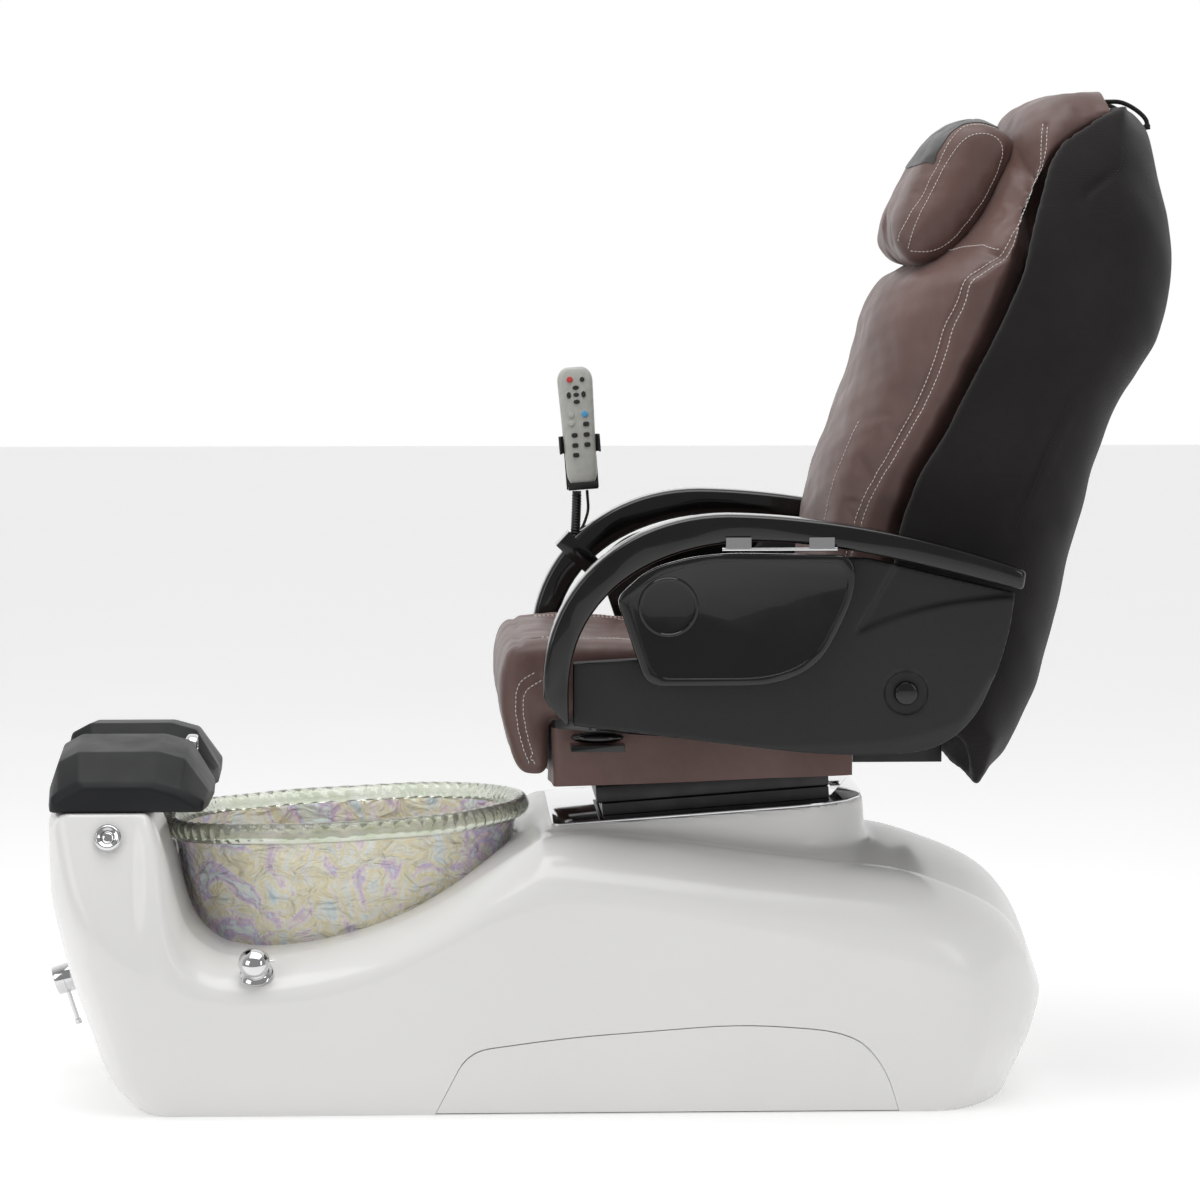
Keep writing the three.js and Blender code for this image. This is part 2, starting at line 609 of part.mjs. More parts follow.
// ---------------------------------------------------------------- side panels, armrests, trays
const panelOutline = (inset) => [
  [-50 + inset, 527 + inset],
  [-50 + inset, 614 - inset, 4],
  [120, 624 - inset, 30],
  [205 + inset * 0.7, 680 - inset, 20],
  [262 + inset, 756 - inset, 10],
  [345, 757 - inset, 20],
  [552 - inset, 708 - inset, 4],
  [545 - inset, 655, 30],
  [528 - inset, 598, 40],
  [500 - inset, 532, 60],
  [440, 486 + inset, 60],
  [300, 484 + inset, 60],
];

function buildSidePanels() {
  const shell = prism(panelOutline(0), PANEL.inner, PANEL.outer);
  const hollow = prism(panelOutline(PANEL.wall), PANEL.inner - 5, PANEL.outer - PANEL.wall);
  pair("side_panel", cut(shell, hollow), "matteBlack");
  const cap = [[0, 0.3], [17, 0.3], [15, 5], [12, 6], [0, 5]];
  const right = turned(cap).rotateX(rad(-90)).translate(PIVOT.x, PANEL.outer, PIVOT.z);
  pair("pivot_cap", right, "glossBlack");
}
buildSidePanels();

// Side outline of the bowed armrest, from its front foot over the bow to its rear tip.
function armShape() {
  const shape = new THREE.Shape();
  shape.moveTo(-90, 566);
  shape.lineTo(-90, 595);
  shape.bezierCurveTo(-86, 720, 20, 816, 160, 816);
  shape.bezierCurveTo(300, 814, 440, 782, 562, 739);
  shape.lineTo(558, 712);
  shape.bezierCurveTo(430, 745, 310, 779, 195, 779);
  shape.bezierCurveTo(70, 779, -56, 715, -56, 575);
  shape.lineTo(-56, 528);
  shape.closePath();
  return shape;
}

function buildArmrests() {
  pair("armrest", prism(armShape(), ARM.inner, ARM.outer, 8), "glossBlack");
}
buildArmrests();

const trayOutline = (inset) => [
  [8 + inset * 1.2, 704, 14],
  [52 + inset * 0.8, 744 - inset, 26],
  [132, 765 - inset, 60],
  [329 - inset, 761 - inset, 24],
  [330 - inset, 705, 50],
  [268 - inset * 0.6, 585 + inset, 90],
  [48 + inset, 585 + inset, 24],
];

function buildTrays() {
  const { inner, outer, pocket, cupX, cupZ, cupRadius, cupDepth } = TRAY;
  const board = prism(trayOutline(0), inner, outer);
  const recess = prism(trayOutline(TRAY.rim), outer - pocket, outer + 5);
  const disc = (radius, low, high) =>
    turned([[0, low], [radius, low], [radius, high], [0, high]], 28).rotateX(rad(-90)).translate(cupX, 0, cupZ);
  const ring = disc(cupRadius + 4, outer - pocket - 1, outer);
  const cup = disc(cupRadius, outer - cupDepth - 2, outer + 5);
  pair("tray", cut(join(cut(board, recess), ring), cup), "glossBlack");
  const { y, z, radius } = TRAY_HINGE;
  const rod = turned([[0, 150], [radius, 150], [radius, 305], [0, 305]], 10).rotateY(rad(90)).translate(0, y, z);
  const tabs = [155, 267].map((x) => box(x, x + 34, ARM.outer + GAP, y + 2, z - 1.5, z + 16));
  pair("tray_hinge", join(rod, ...tabs), "chrome");
}
buildTrays();

// ---------------------------------------------------------------- seat release lever and recline drive
const LEVER = { x: -15, y: -284, z: 509, halfLength: 36, halfWidth: 22, halfHeight: 8 };
function buildLever() {
  const mount = join(box(-52, 22, -306, -270, 491, 500), box(-40, 10, -300, -254.5, 493, 499));
  piece("seat_lever_mount", mount, "glossBlack");
  const { x, y, z, halfLength, halfWidth, halfHeight } = LEVER;
  const paddle = new THREE.SphereGeometry(1, 18, 8).scale(halfLength, halfWidth, halfHeight);
  piece("seat_lever", paddle.translate(x, y, z), "glossBlack");
}
buildLever();

function buildReclineDrive() {
  const body = box(346, 476, -110, 110, 453, 483);
  const motor = turned([[0, -60], [19, -60], [19, 60], [0, 60]], 16).rotateX(rad(90)).translate(372, 0, 500);
  piece("recline_drive", join(body, motor), "matteBlack");
}
buildReclineDrive();

// ---------------------------------------------------------------- backrest
// Side outline of the rear cover, from the tail up the back to the crest.
const SHELL_REAR = [
  [526, 434], [546, 458], [560, 478], [583, 525], [602, 570], [612, 606], [629, 672], [645, 743], [665, 815],
  [683, 886], [705, 947], [735, 998], [765, 1050], [777, 1100], [782, 1160], [777, 1210], [766, 1265],
  [755, 1330], [738, 1358], [712, 1376],
];
const SHELL_FRONT = [
  [690, 1373], [622, 1348], [606, 1325], [597, 1288], [582, 1225], [564, 1150], [534, 1075], [496, 1000],
  [459, 925], [419, 855], [399, 800], [388, 740], [376, 660], [366, 600], [368, 556], [392, 528], [440, 512],
  [482, 500], [500, 452],
];
// Width of the backrest at each height, as a share of its width at the seat.
const BACK_HALF_WIDTH = [
  [430, 0.93], [520, 1], [800, 1], [900, 1.03], [1100, 1.08], [1200, 1.07], [1290, 0.98], [1350, 0.86],
  [1390, 0.72],
];

// How far the rear corners round forward at each height.
const CORNER_PULL = [[434, 4], [470, 16], [560, 60], [1250, 70], [1340, 40], [1376, 4]];

// One ring of the rear cover at a share of its half width; rounding pulls the rear corners forward.
function shellRing(share, inset, reach) {
  const corner = 1 - Math.sqrt(1 - Math.abs(share) ** 2.6);
  const pull = (z) => corner * along(CORNER_PULL, z);
  const inside = ([, z]) => inset === 0 || (z > 450 && z < 1345);
  const rear = SHELL_REAR.filter(inside).map(([x, z]) => [x - inset - pull(z), z]);
  const front = SHELL_FRONT.filter(inside).map(([x, z]) => [x - reach, z]);
  return [...rear, ...front].map(([x, z]) => {
    const half = (BACK.shellHalfWidth - inset) * along(BACK_HALF_WIDTH, z);
    return point(x, share * half, z);
  });
}

function buildBackShell() {
  const shares = [-1, -0.93, -0.75, 0, 0.75, 0.93, 1];
  const outer = loft(shares.map((s) => shellRing(s, 0, 0)), (p) => [p.x, p.z]);
  const inner = loft(shares.map((s) => shellRing(s, 9, 12)), (p) => [p.x, p.z]);
  const pinHole = turned([[0, -300], [12, -300], [12, 300], [0, 300]], 16).rotateX(rad(90));
  const shell = cut(outer, inner, pinHole.translate(PIVOT.x, 0, PIVOT.z));
  piece("back_shell", shell, "blackFabric");
}
buildBackShell();

const CUSHION_OUTLINE = [
  [292, 652, 14], [312, 812], [326, 872], [352, 934], [377, 1005], [392, 1078], [420, 1122], [460, 1140],
  [504, 1168], [540, 1212], [574, 1280], [586, 1318], [596, 1352, 16], [640, 1380, 20], [690, 1378],
  [690, 1374.4], [620, 1350], [603, 1326], [594, 1288], [579, 1225], [561, 1151], [531, 1076], [493, 1001],
  [456, 926], [416, 856], [396, 800], [385, 740], [372, 655],
];

function buildBackCushion() {
  const profile = prism(CUSHION_OUTLINE, -300, 300);
  const half = BACK.cushionHalfWidth;
  const width = (z) => half * along(BACK_HALF_WIDTH, z);
  const levels = [640, 760, 900, 1000, 1100, 1200, 1290, 1350, 1385];
  const rings = levels.map((z) => {
    const corners = [[200, 1], [800, 1], [800, -1], [200, -1]];
    return corners.map(([x, side]) => point(x, side * width(z), z));
  });
  piece("back_cushion", common(profile, loft(rings, (p) => [p.x, p.y])), "leather");
}
buildBackCushion();

function buildPillow() {
  const outline = [
    [396, 1182, 18], [424, 1142, 22], [478, 1150, 40], [532, 1207, 60], [566, 1272, 40], [583, 1320, 22],
    [546, 1352, 26], [490, 1350, 40], [452, 1288, 60],
  ].map(([x, z, radius]) => [x - 2, z, radius]);
  piece("headrest_pillow", prism(outline, -150, 150), "leather");
}
buildPillow();

// The massage head climbs two round rails of the back frame; its wheels stand in front of them.
const MASSAGE = { rest: 200, railX: 10, railY: 60, railRadius: 6, wheelX: -29 };

function buildBackFrame() {
  const bars = [];
  for (const side of [-1, 1]) {
    const span = (low, high) => (side < 0 ? [-high, -low] : [low, high]);
    bars.push(onBack(box(-2, 20, ...span(182, 200), -20, 640)));
    bars.push(onBack(box(-18, 50, ...span(182, 200), -20, 20)));
    const pin = turned([[0, 190], [10, 190], [10, 284], [0, 284]], 16).rotateX(rad(side > 0 ? -90 : 90));
    bars.push(pin.translate(PIVOT.x, 0, PIVOT.z));
  }
  for (const z of [120, 560, 620]) bars.push(onBack(box(3, 17, -190, 190, z, z + 20)));
  const { railX, railY, railRadius } = MASSAGE;
  for (const y of [-railY, railY]) {
    const rail = turned([[0, 125], [railRadius, 125], [railRadius, 575], [0, 575]], 10);
    bars.push(onBack(rail.translate(railX, y, 0)));
  }
  piece("back_frame", join(...bars), "steel");
}
buildBackFrame();

function buildMassage() {
  const { rest, railX, railY, railRadius, wheelX } = MASSAGE;
  const rods = [-railY, railY].map((y) => {
    const bore = [[0, 0], [railRadius + 1, 0], [railRadius + 1, 900], [0, 900]];
    return onBack(turned(bore, 16).translate(railX, y, 0));
  });
  const block = onBack(box(-11, 31, -90, 90, rest - 30, rest + 30));
  const arms = [-1, 1].map((side) => {
    const [low, high] = side < 0 ? [-90, -82] : [82, 90];
    return onBack(box(-39, -7, low, high, rest - 12, rest + 12));
  });
  const shaft = [[0, -95], [4.6, -95], [4.6, 95], [0, 95]];
  const bearings = onBack(turned(shaft, 16).rotateX(rad(90)).translate(wheelX, 0, rest));
  piece("massage_carriage", cut(join(block, ...arms), ...rods, bearings), "matteBlack");
  const axle = turned([[0, -94], [4, -94], [4, 94], [0, 94]], 12);
  const wheels = [-1, 1].map((side) => {
    const wheel = [[0, -14], [13, -14], [16, -8], [16, 8], [13, 14], [0, 14]];
    return turned(wheel, 16).translate(0, 0, side * 52);
  });
  const rollers = join(axle, ...wheels).rotateX(rad(90)).translate(wheelX, 0, rest);
  piece("massage_rollers", onBack(rollers), "polyurethane");
}
buildMassage();

function buildRearFlap() {
  const outline = [[786, 1232], [789, 1238], [763, 1345], [757, 1345], [779, 1240]];
  piece("back_rear_flap", prism(outline, -55, 55), "matteBlack");
}
buildRearFlap();

// ---------------------------------------------------------------- massage remote on its flexible arm
// Places a piece given in the remote's frame: x to its right, z up its face, -y towards the keys.
const onRemote = (geometry) => geometry.rotateY(rad(REMOTE.tilt)).translate(REMOTE.x, REMOTE.y, REMOTE.z);

// The remote's body is a little wider at the top than at the foot.
function remoteBlank(yLow, yHigh) {
  const halfTop = REMOTE.width / 2;
  const halfFoot = halfTop - 5;
  const half = REMOTE.length / 2;
  const outline = [
    [-halfFoot, -half, 16], [halfFoot, -half, 16], [halfTop, 10, 40],
    [halfTop - 2, half, 22], [-halfTop + 2, half, 22], [-halfTop, 10, 40],
  ];
  return prism(outline, yLow, yHigh);
}

// Keys that travel: name, place across and up the face, half width, half height, finish.
const COLUMN = 10.5;
const KEYS = [
  ["power", -8, 71, 4.8, 4.8, "keyRed"],
  ["timer", COLUMN, 70, 3.8, 3.8, "keyBlack"],
  ["pad_up", 0, 58.5, 5, 3.4, "keyBlack"],
  ["pad_down", 0, 37.5, 5, 3.4, "keyBlack"],
  ["pad_left", -11, 48, 3.4, 5, "keyBlack"],
  ["pad_right", 11, 48, 3.4, 5, "keyBlack"],
  ["pad_centre", 0, 48, 4.4, 3.2, "keyBlack"],
  ["recline_up", -9.5, 18, 4.6, 4.2, "silver"],
  ["recline_down", -9.5, 6, 4.6, 4.2, "silver"],
  ["heat", COLUMN, 18.5, 5, 5, "keyBlue"],
];
const KEY = { clearance: 0.35, face: -REMOTE.depth / 2, proud: 1.6, depth: 4 };

function keySolid(x, z, halfWidth, halfHeight, yLow, yHigh) {
  const shape = new THREE.Shape().absellipse(x, z, halfWidth, halfHeight, 0, 2 * Math.PI);
  return prism(shape, yLow, yHigh, 4);
}

function buildRemote() {
  const { face, depth, proud, clearance } = KEY;
  const shell = remoteBlank(face, -face);
  const wells = KEYS.map(([, x, z, w, h]) =>
    keySolid(x, z, w + clearance, h + clearance, face - 2, face + depth + 2));
  piece("remote_case", onRemote(cut(shell, ...wells)), "silver");
  for (const [name, x, z, w, h, finish] of KEYS) {
    piece("key_" + name, onRemote(keySolid(x, z, w, h, face - proud, face + depth)), finish);
  }
}
buildRemote();

function buildRemoteHolder() {
  const foot = -REMOTE.length / 2;
  const sideX = REMOTE.width / 2 + 0.6;
  const back = REMOTE.depth / 2 + GAP;
  const parts = [box(-22, 22, -12, back + 3, foot - 4.4, foot - GAP)];
  parts.push(box(-24, 24, back, back + 3, foot - 4.4, foot + 92));
  parts.push(box(-22, 22, -14.6, -11.6, foot - 4.4, foot + 7));
  for (const side of [-1, 1]) {
    const [low, high] = side < 0 ? [-sideX - 3, -sideX] : [sideX, sideX + 3];
    parts.push(box(low, high, -8, back + 3, foot + 50, foot + 76));
    parts.push(box(Math.min(low, 20 * side), Math.max(high, 20 * side), back, back + 3, foot + 50, foot + 76));
  }
  piece("remote_holder", onRemote(join(...parts)), "matteBlack");
}
buildRemoteHolder();

// The clamp that holds the flexible arm: a block round the armrest, its screw and its knob.
const CLAMP = { x: -21, y: 324, z: 721, turn: -47, halfWidth: 14, halfDepth: 30.2, halfHeight: 31 };
function buildRemoteArm() {
  const { x, y, z, turn, halfWidth, halfDepth, halfHeight } = CLAMP;
  const onClamp = (geometry) => geometry.rotateY(rad(turn)).translate(x, y, z);
  const block = box(-halfWidth, halfWidth, -halfDepth, halfDepth, -halfHeight, halfHeight);
  const throat = box(-30, 30, -28.5, 28.5, -26.5, 26.5);
  const shaft = turned([[0, 29], [5, 29], [5, 42], [0, 42]], 10).rotateX(Math.PI);
  const knob = turned([[0, 41], [11, 41], [11, 55], [8, 58], [0, 58]], 12).rotateX(Math.PI);
  const route = [[-24, 330, 744], [-23, 330, 762], [-22, 330, 785], [-21.5, 329, 806], [-21.5, 329, 811.5]];
  const stem = tube(route, 7, 8, 10);
  const bar = prism(armShape(), ARM.inner - 1, ARM.outer + 1, 8);
  const clearance = [[0, 0], [0.5, -0.5]].map(([dx, dz]) => bar.clone().translate(dx, 0, dz));
  const room = clearance.map((passage) => common(onClamp(throat.clone()), passage));
  const body = cut(join(onClamp(block), stem), ...room);
  piece("remote_arm", join(body, onClamp(shaft), onClamp(knob)), "glossBlack");
}
buildRemoteArm();

function buildRemoteCable() {
  const route = [
    [-6, 333, 812], [-5, 336, 800], [-4, 343, 785], [-6, 352, 772], [-14, 356.9, 752], [-34, 356.9, 722],
    [-52, 356.9, 690], [-66, 356.9, 655], [-74, 356.9, 615], [-78, 356.9, 580], [-81, 356.5, 556],
    [-80, 350, 534], [-74, 334, 516], [-62, 316, 511], [-51, 306, 513], [-45, 304, 519], [-44, 304, 525.4],
  ];
  piece("remote_cable", tube(route, 2.2, 28, 8), "matteBlack");
}
buildRemoteCable();

export default chair;
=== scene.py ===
"""Pedicure spa chair: the visible surfaces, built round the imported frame.

Shapes are drawn in millimetres with the frame's axes, and become metres as each mesh is made.
"""

import json
import math

import bpy
import numpy as np
from mathutils import Matrix, Vector
from mathutils.bvhtree import BVHTree


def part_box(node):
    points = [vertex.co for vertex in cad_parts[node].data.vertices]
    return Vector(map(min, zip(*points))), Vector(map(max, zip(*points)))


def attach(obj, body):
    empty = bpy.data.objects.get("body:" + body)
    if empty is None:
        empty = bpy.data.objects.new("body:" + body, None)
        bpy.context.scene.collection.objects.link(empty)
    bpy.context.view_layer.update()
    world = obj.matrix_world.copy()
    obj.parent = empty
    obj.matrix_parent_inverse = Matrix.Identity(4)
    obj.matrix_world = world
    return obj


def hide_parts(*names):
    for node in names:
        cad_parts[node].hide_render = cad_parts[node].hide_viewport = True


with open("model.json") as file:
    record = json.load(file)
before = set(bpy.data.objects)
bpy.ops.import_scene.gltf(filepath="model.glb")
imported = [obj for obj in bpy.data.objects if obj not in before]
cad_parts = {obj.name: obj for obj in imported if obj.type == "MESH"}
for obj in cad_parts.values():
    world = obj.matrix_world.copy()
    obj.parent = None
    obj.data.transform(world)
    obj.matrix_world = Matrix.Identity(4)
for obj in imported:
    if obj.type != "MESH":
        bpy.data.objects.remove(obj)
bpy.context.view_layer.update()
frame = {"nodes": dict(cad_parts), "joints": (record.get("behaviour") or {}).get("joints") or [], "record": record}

NODES = frame["nodes"]
JOINTS = {joint["name"]: joint for joint in frame["joints"]}
HINGE_X, HINGE_Z = 403.0, 571.0  # the recline hinge in the drawing
ORIGIN_X = HINGE_X - 1000 * JOINTS["back_recline"]["pos_m"][0]


# ---------------------------------------------------------------- numbers and curves
def curve(pairs):
    """A smooth curve through [x, value] pairs, without overshoot."""
    x, v = np.array(pairs, float).T
    h = np.diff(x)
    d = np.diff(v) / h
    m = np.concatenate([[d[0]], np.zeros(len(x) - 2), [d[-1]]])
    for i in range(1, len(x) - 1):
        if d[i - 1] * d[i] > 0:
            w0, w1 = 2 * h[i] + h[i - 1], h[i] + 2 * h[i - 1]
            m[i] = (w0 + w1) / (w0 / d[i - 1] + w1 / d[i])

    def at(t):
        t = np.clip(t, x[0], x[-1])
        i = np.clip(np.searchsorted(x, t) - 1, 0, len(h) - 1)
        s = (t - x[i]) / h[i]
        rise = (1 + 2 * s) * (1 - s) ** 2 * v[i] + s * s * (3 - 2 * s) * v[i + 1]
        return rise + h[i] * (s * (1 - s) ** 2 * m[i] + s * s * (s - 1) * m[i + 1])

    return at


def ramp(t, start, end):
    s = np.clip((t - start) / (end - start), 0, 1)
    return s * s * (3 - 2 * s)


def both(a, b, k=1.0):
    """Where both solids are, with edges rounded over about k."""
    h = np.clip(0.5 - 0.5 * (b - a) / k, 0, 1)
    return b * (1 - h) + a * h + k * h * (1 - h)


def either(a, b, k=1.0):
    return -both(-a, -b, k)


def turned_back(x, z, at_x, at_z, degrees):
    """x and z seen in a frame that is turned by some degrees about +Y at a place."""
    c, s = math.cos(math.radians(degrees)), math.sin(math.radians(degrees))
    return (x - at_x) * c - (z - at_z) * s, (x - at_x) * s + (z - at_z) * c


def polygon(points):
    """Signed distance from a closed outline, negative inside."""
    ends = np.array(points, float)

    def at(x, z):
        nearest = np.full(np.shape(x), 1e9)
        inside = np.zeros(np.shape(x), bool)
        for (ax, az), (bx, bz) in zip(ends, np.roll(ends, -1, 0)):
            ex, ez = bx - ax, bz - az
            t = np.clip(((x - ax) * ex + (z - az) * ez) / (ex * ex + ez * ez), 0, 1)
            nearest = np.minimum(nearest, (x - ax - t * ex) ** 2 + (z - az - t * ez) ** 2)
            if az != bz:
                inside ^= ((az > z) != (bz > z)) & (x < ex * (z - az) / ez + ax)
        return np.where(inside, -1, 1) * np.sqrt(nearest)

    return at


def rounded(corners, steps=6):
    """Points of a closed outline through [x, z, radius] corners."""
    points = []
    for i, (x, z, *radius) in enumerate(corners):
        here = np.array([x, z], float)
        if not radius:
            points.append(here)
            continue
        arms = []
        for other in (corners[i - 1], corners[(i + 1) % len(corners)]):
            step = np.array(other[:2], float) - here
            length = np.linalg.norm(step)
            arms.append(here + step / length * min(radius[0], 0.48 * length))
        for t in np.linspace(0, 1, steps):
            points.append((1 - t) ** 2 * arms[0] + 2 * t * (1 - t) * here + t * t * arms[1])
    return np.array(points)


def bezier(*knots, steps=24):
    a, b, c, d = np.array(knots, float)
    t = np.linspace(0, 1, steps)[:, None]
    return (1 - t) ** 3 * a + 3 * t * (1 - t) ** 2 * b + 3 * t * t * (1 - t) * c + t**3 * d


def smooth_route(points, spacing):
    """Evenly spaced points on a Catmull-Rom curve through the given ones."""
    p = np.array(points, float)
    p = np.vstack([2 * p[0] - p[1], p, 2 * p[-1] - p[-2]])
    dense = []
    for a, b, c, d in zip(p, p[1:], p[2:], p[3:]):
        t = np.linspace(0, 1, 24, endpoint=False)[:, None]
        square, cube = (2 * a - 5 * b + 4 * c - d) * t**2, (3 * b - a - 3 * c + d) * t**3
        dense.append(0.5 * (2 * b + (c - a) * t + square + cube))
    dense = np.vstack(dense + [p[-2:-1]])
    reach = np.concatenate([[0], np.cumsum(np.linalg.norm(np.diff(dense, axis=0), axis=1))])
    at = np.linspace(0, reach[-1], max(2, int(reach[-1] / spacing) + 1))
    return np.stack([np.interp(at, reach, dense[:, k]) for k in range(3)], 1)


def wander(x, y, z, size, seed=0):
    """A smooth random-looking field from -1 to 1, with bumps of about that size."""
    total = 0.0
    for i in range(5):
        a = 1.7 * i + seed
        b = 2.3 * i + 1.9 * seed
        wave = math.cos(a) * x + math.sin(a) * math.cos(b) * y + math.sin(a) * math.sin(b) * z
        total = total + np.sin(wave * 2 * math.pi / (size * (0.7 + 0.18 * i)) + 3 * i + seed)
    return total / 3.2


# ---------------------------------------------------------------- surfaces
def surface(field, low, high, step, settle=2):
    """Points and faces of the surface where a field is zero (surface nets, then settled onto it)."""
    axes = [np.arange(low[k], high[k] + step, step) for k in range(3)]
    value = field(*np.meshgrid(*axes, indexing="ij"))
    inside = value < 0
    size = np.array(value.shape) - 1

    def corner(a, o):
        return a[o[0] : size[0] + o[0], o[1] : size[1] + o[1], o[2] : size[2] + o[2]]

    offsets = [(i, j, k) for i in (0, 1) for j in (0, 1) for k in (0, 1)]
    full = sum(corner(inside, o).astype(np.int8) for o in offsets)
    active = (full > 0) & (full < 8)
    number = np.full(active.shape, -1)
    number[active] = np.arange(active.sum())
    cells = np.argwhere(active)
    place, count = np.zeros((len(cells), 3)), np.zeros(len(cells))
    for axis in range(3):
        for near in (o for o in offsets if not o[axis]):
            far = tuple(c + (k == axis) for k, c in enumerate(near))
            a, b = corner(value, near)[active], corner(value, far)[active]
            crosses = (a < 0) != (b < 0)
            at = np.tile(np.array(near, float), (len(a), 1))
            at[:, axis] = a / np.where(crosses, a - b, 1)
            place[crosses] += at[crosses]
            count[crosses] += 1
    points = np.array(low) + (cells + place / count[:, None]) * step
    faces = []
    for axis in range(3):
        u, v = (axis + 1) % 3, (axis + 2) % 3
        ahead = np.roll(inside, -1, axis)
        edge = np.argwhere(inside != ahead)
        keep = (edge[:, axis] < size[axis]) & (edge[:, u] > 0) & (edge[:, v] > 0)
        edge = edge[keep & (edge[:, u] < size[u]) & (edge[:, v] < size[v])]
        ring = []
        for du, dv in ((-1, -1), (0, -1), (0, 0), (-1, 0)):
            cell = edge.copy()
            cell[:, u] += du
            cell[:, v] += dv
            ring.append(number[tuple(cell.T)])
        quads = np.stack(ring, 1)
        outwards = inside[tuple(edge.T)]
        faces.append(np.where(outwards[:, None], quads, quads[:, ::-1]))
    for _ in range(settle):
        gradient = np.stack([
            (field(*(points + d).T) - field(*(points - d).T)) / 0.8 for d in 0.4 * np.eye(3)
        ], 1)
        slope = np.maximum((gradient**2).sum(1, keepdims=True), 0.1)
        move = field(*points.T)[:, None] * gradient / slope
        points = points - np.clip(move, -0.35 * step, 0.35 * step)
    return points, np.vstack(faces)


def skin(rings, caps=True, loop=False):
    """Points and faces of a skin through rings of equally many points."""
    rings = np.array(rings, float)
    rows, n = rings.shape[:2]
    faces = []
    for r in range(rows if loop else rows - 1):
        a, b = r * n, ((r + 1) % rows) * n
        faces += [(a + i, a + (i + 1) % n, b + (i + 1) % n, b + i) for i in range(n)]
    if caps and not loop:
        faces.append(tuple(range(n))[::-1])
        faces.append(tuple((rows - 1) * n + i for i in range(n)))
    return rings.reshape(-1, 3), faces


def prism(outline, low, high):
    """A side outline (x, z) carried across from one y to another."""
    ring = [[(x, y, z) for x, z in outline] for y in (low, high)]
    return skin(ring)


def lathe(profile, axis, place, segments=64):
    """A turned solid: profile gives [radius, distance] pairs along an axis from a place."""
    way = Vector(axis).normalized()
    turn = np.array(Vector((0, 0, 1)).rotation_difference(way).to_matrix())
    angle = np.linspace(0, 2 * math.pi, segments, endpoint=False)
    rings = [
        np.stack([max(r, 0.01) * np.cos(angle), max(r, 0.01) * np.sin(angle), np.full(segments, d)], 1)
        for r, d in profile
    ]
    points, faces = skin(rings, loop=profile[0] == profile[-1])
    return points @ turn.T + np.array(place), faces


def tube(route, radius, sides=12):
    """A round bar along points; radius is one number or one for each point."""
    route = np.array(route, float)
    radii = np.broadcast_to(radius, len(route))
    ways = np.gradient(route, axis=0)
    ways /= np.linalg.norm(ways, axis=1, keepdims=True)
    side = np.cross(ways[0], [0.31, 0.23, 0.92])
    rings = []
    for here, way, r in zip(route, ways, radii):
        side = side - way * side.dot(way)
        side /= np.linalg.norm(side)
        other = np.cross(way, side)
        angle = np.linspace(0, 2 * math.pi, sides, endpoint=False)[:, None]
        rings.append(here + r * (np.cos(angle) * side + np.sin(angle) * other))
    return skin(rings)


def merged(*parts):
    points, faces, start = [], [], 0
    for p, f in parts:
        points.append(np.asarray(p, float))
        faces += [tuple(int(i) + start for i in face) for face in f]
        start += len(p)
    return np.vstack(points), faces


def mirrored(part):
    points, faces = part
    return np.asarray(points) * [1, -1, 1], [tuple(face)[::-1] for face in faces]


# ---------------------------------------------------------------- objects
def mesh_of(name, part):
    points, faces = part
    mesh = bpy.data.meshes.new(name)
    metres = (np.asarray(points, float) - [ORIGIN_X, 0, 0]) / 1000
    mesh.from_pydata(metres.tolist(), [], [tuple(map(int, f)) for f in faces])
    mesh.validate()
    return mesh


def loose(name, part):
    """An object in the scene that isn't a piece yet."""
    made = bpy.data.objects.new(name, mesh_of(name, part))
    bpy.context.scene.collection.objects.link(made)
    return made


def settle_mesh(made):
    """Puts an object's modifiers into its mesh."""
    graph = bpy.context.evaluated_depsgraph_get()
    mesh = bpy.data.meshes.new_from_object(made.evaluated_get(graph))
    made.modifiers.clear()
    made.data = mesh
    return made


def bevel(made, width, segments=3, angle=35):
    cut = made.modifiers.new("bevel", "BEVEL")
    cut.width = width / 1000
    cut.segments = segments
    cut.limit_method = "ANGLE"
    cut.angle_limit = math.radians(angle)
    cut.harden_normals = False
    return settle_mesh(made)


def boolean(made, other, operation="DIFFERENCE"):
    cut = made.modifiers.new("cut", "BOOLEAN")
    cut.object = other
    cut.operation = operation
    cut.solver = "MANIFOLD"
    settle_mesh(made)
    bpy.data.objects.remove(other)
    return made


def shade(made, angle=40):
    """Smooth shading with creases kept sharper than an angle."""
    mesh = made.data
    mesh.polygons.foreach_set("use_smooth", [True] * len(mesh.polygons))
    mesh.set_sharp_from_angle(angle=math.radians(angle))
    return made


def finish_piece(made, body, slot, material, stands_for=(), angle=40):
    made.data.materials.clear()
    made.data.materials.append(material)
    shade(made, angle)
    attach(made, body)
    if stands_for:
        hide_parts(*stands_for)
    return made


def piece(name, part, body, slot, material, stands_for=(), angle=40, edge=0):
    made = loose(name, part)
    if edge:
        bevel(made, edge)
    return finish_piece(made, body, slot, material, stands_for, angle)


def tree_of(made):
    mesh = made.data
    points = np.empty(len(mesh.vertices) * 3)
    mesh.vertices.foreach_get("co", points)
    return BVHTree.FromPolygons(points.reshape(-1, 3).tolist(), [tuple(p.vertices) for p in mesh.polygons])


def snapped(tree, points, lift=0.0):
    """Points moved onto a surface (in the drawing's millimetres), with its normals."""
    places, normals = [], []
    for p in points:
        metres = Vector(((p[0] - ORIGIN_X) / 1000, p[1] / 1000, p[2] / 1000))
        near, normal, _, _ = tree.find_nearest(metres)
        places.append(np.array(near) * 1000 + [ORIGIN_X, 0, 0] + np.array(normal) * lift)
        normals.append(np.array(normal))
    return np.array(places), np.array(normals)


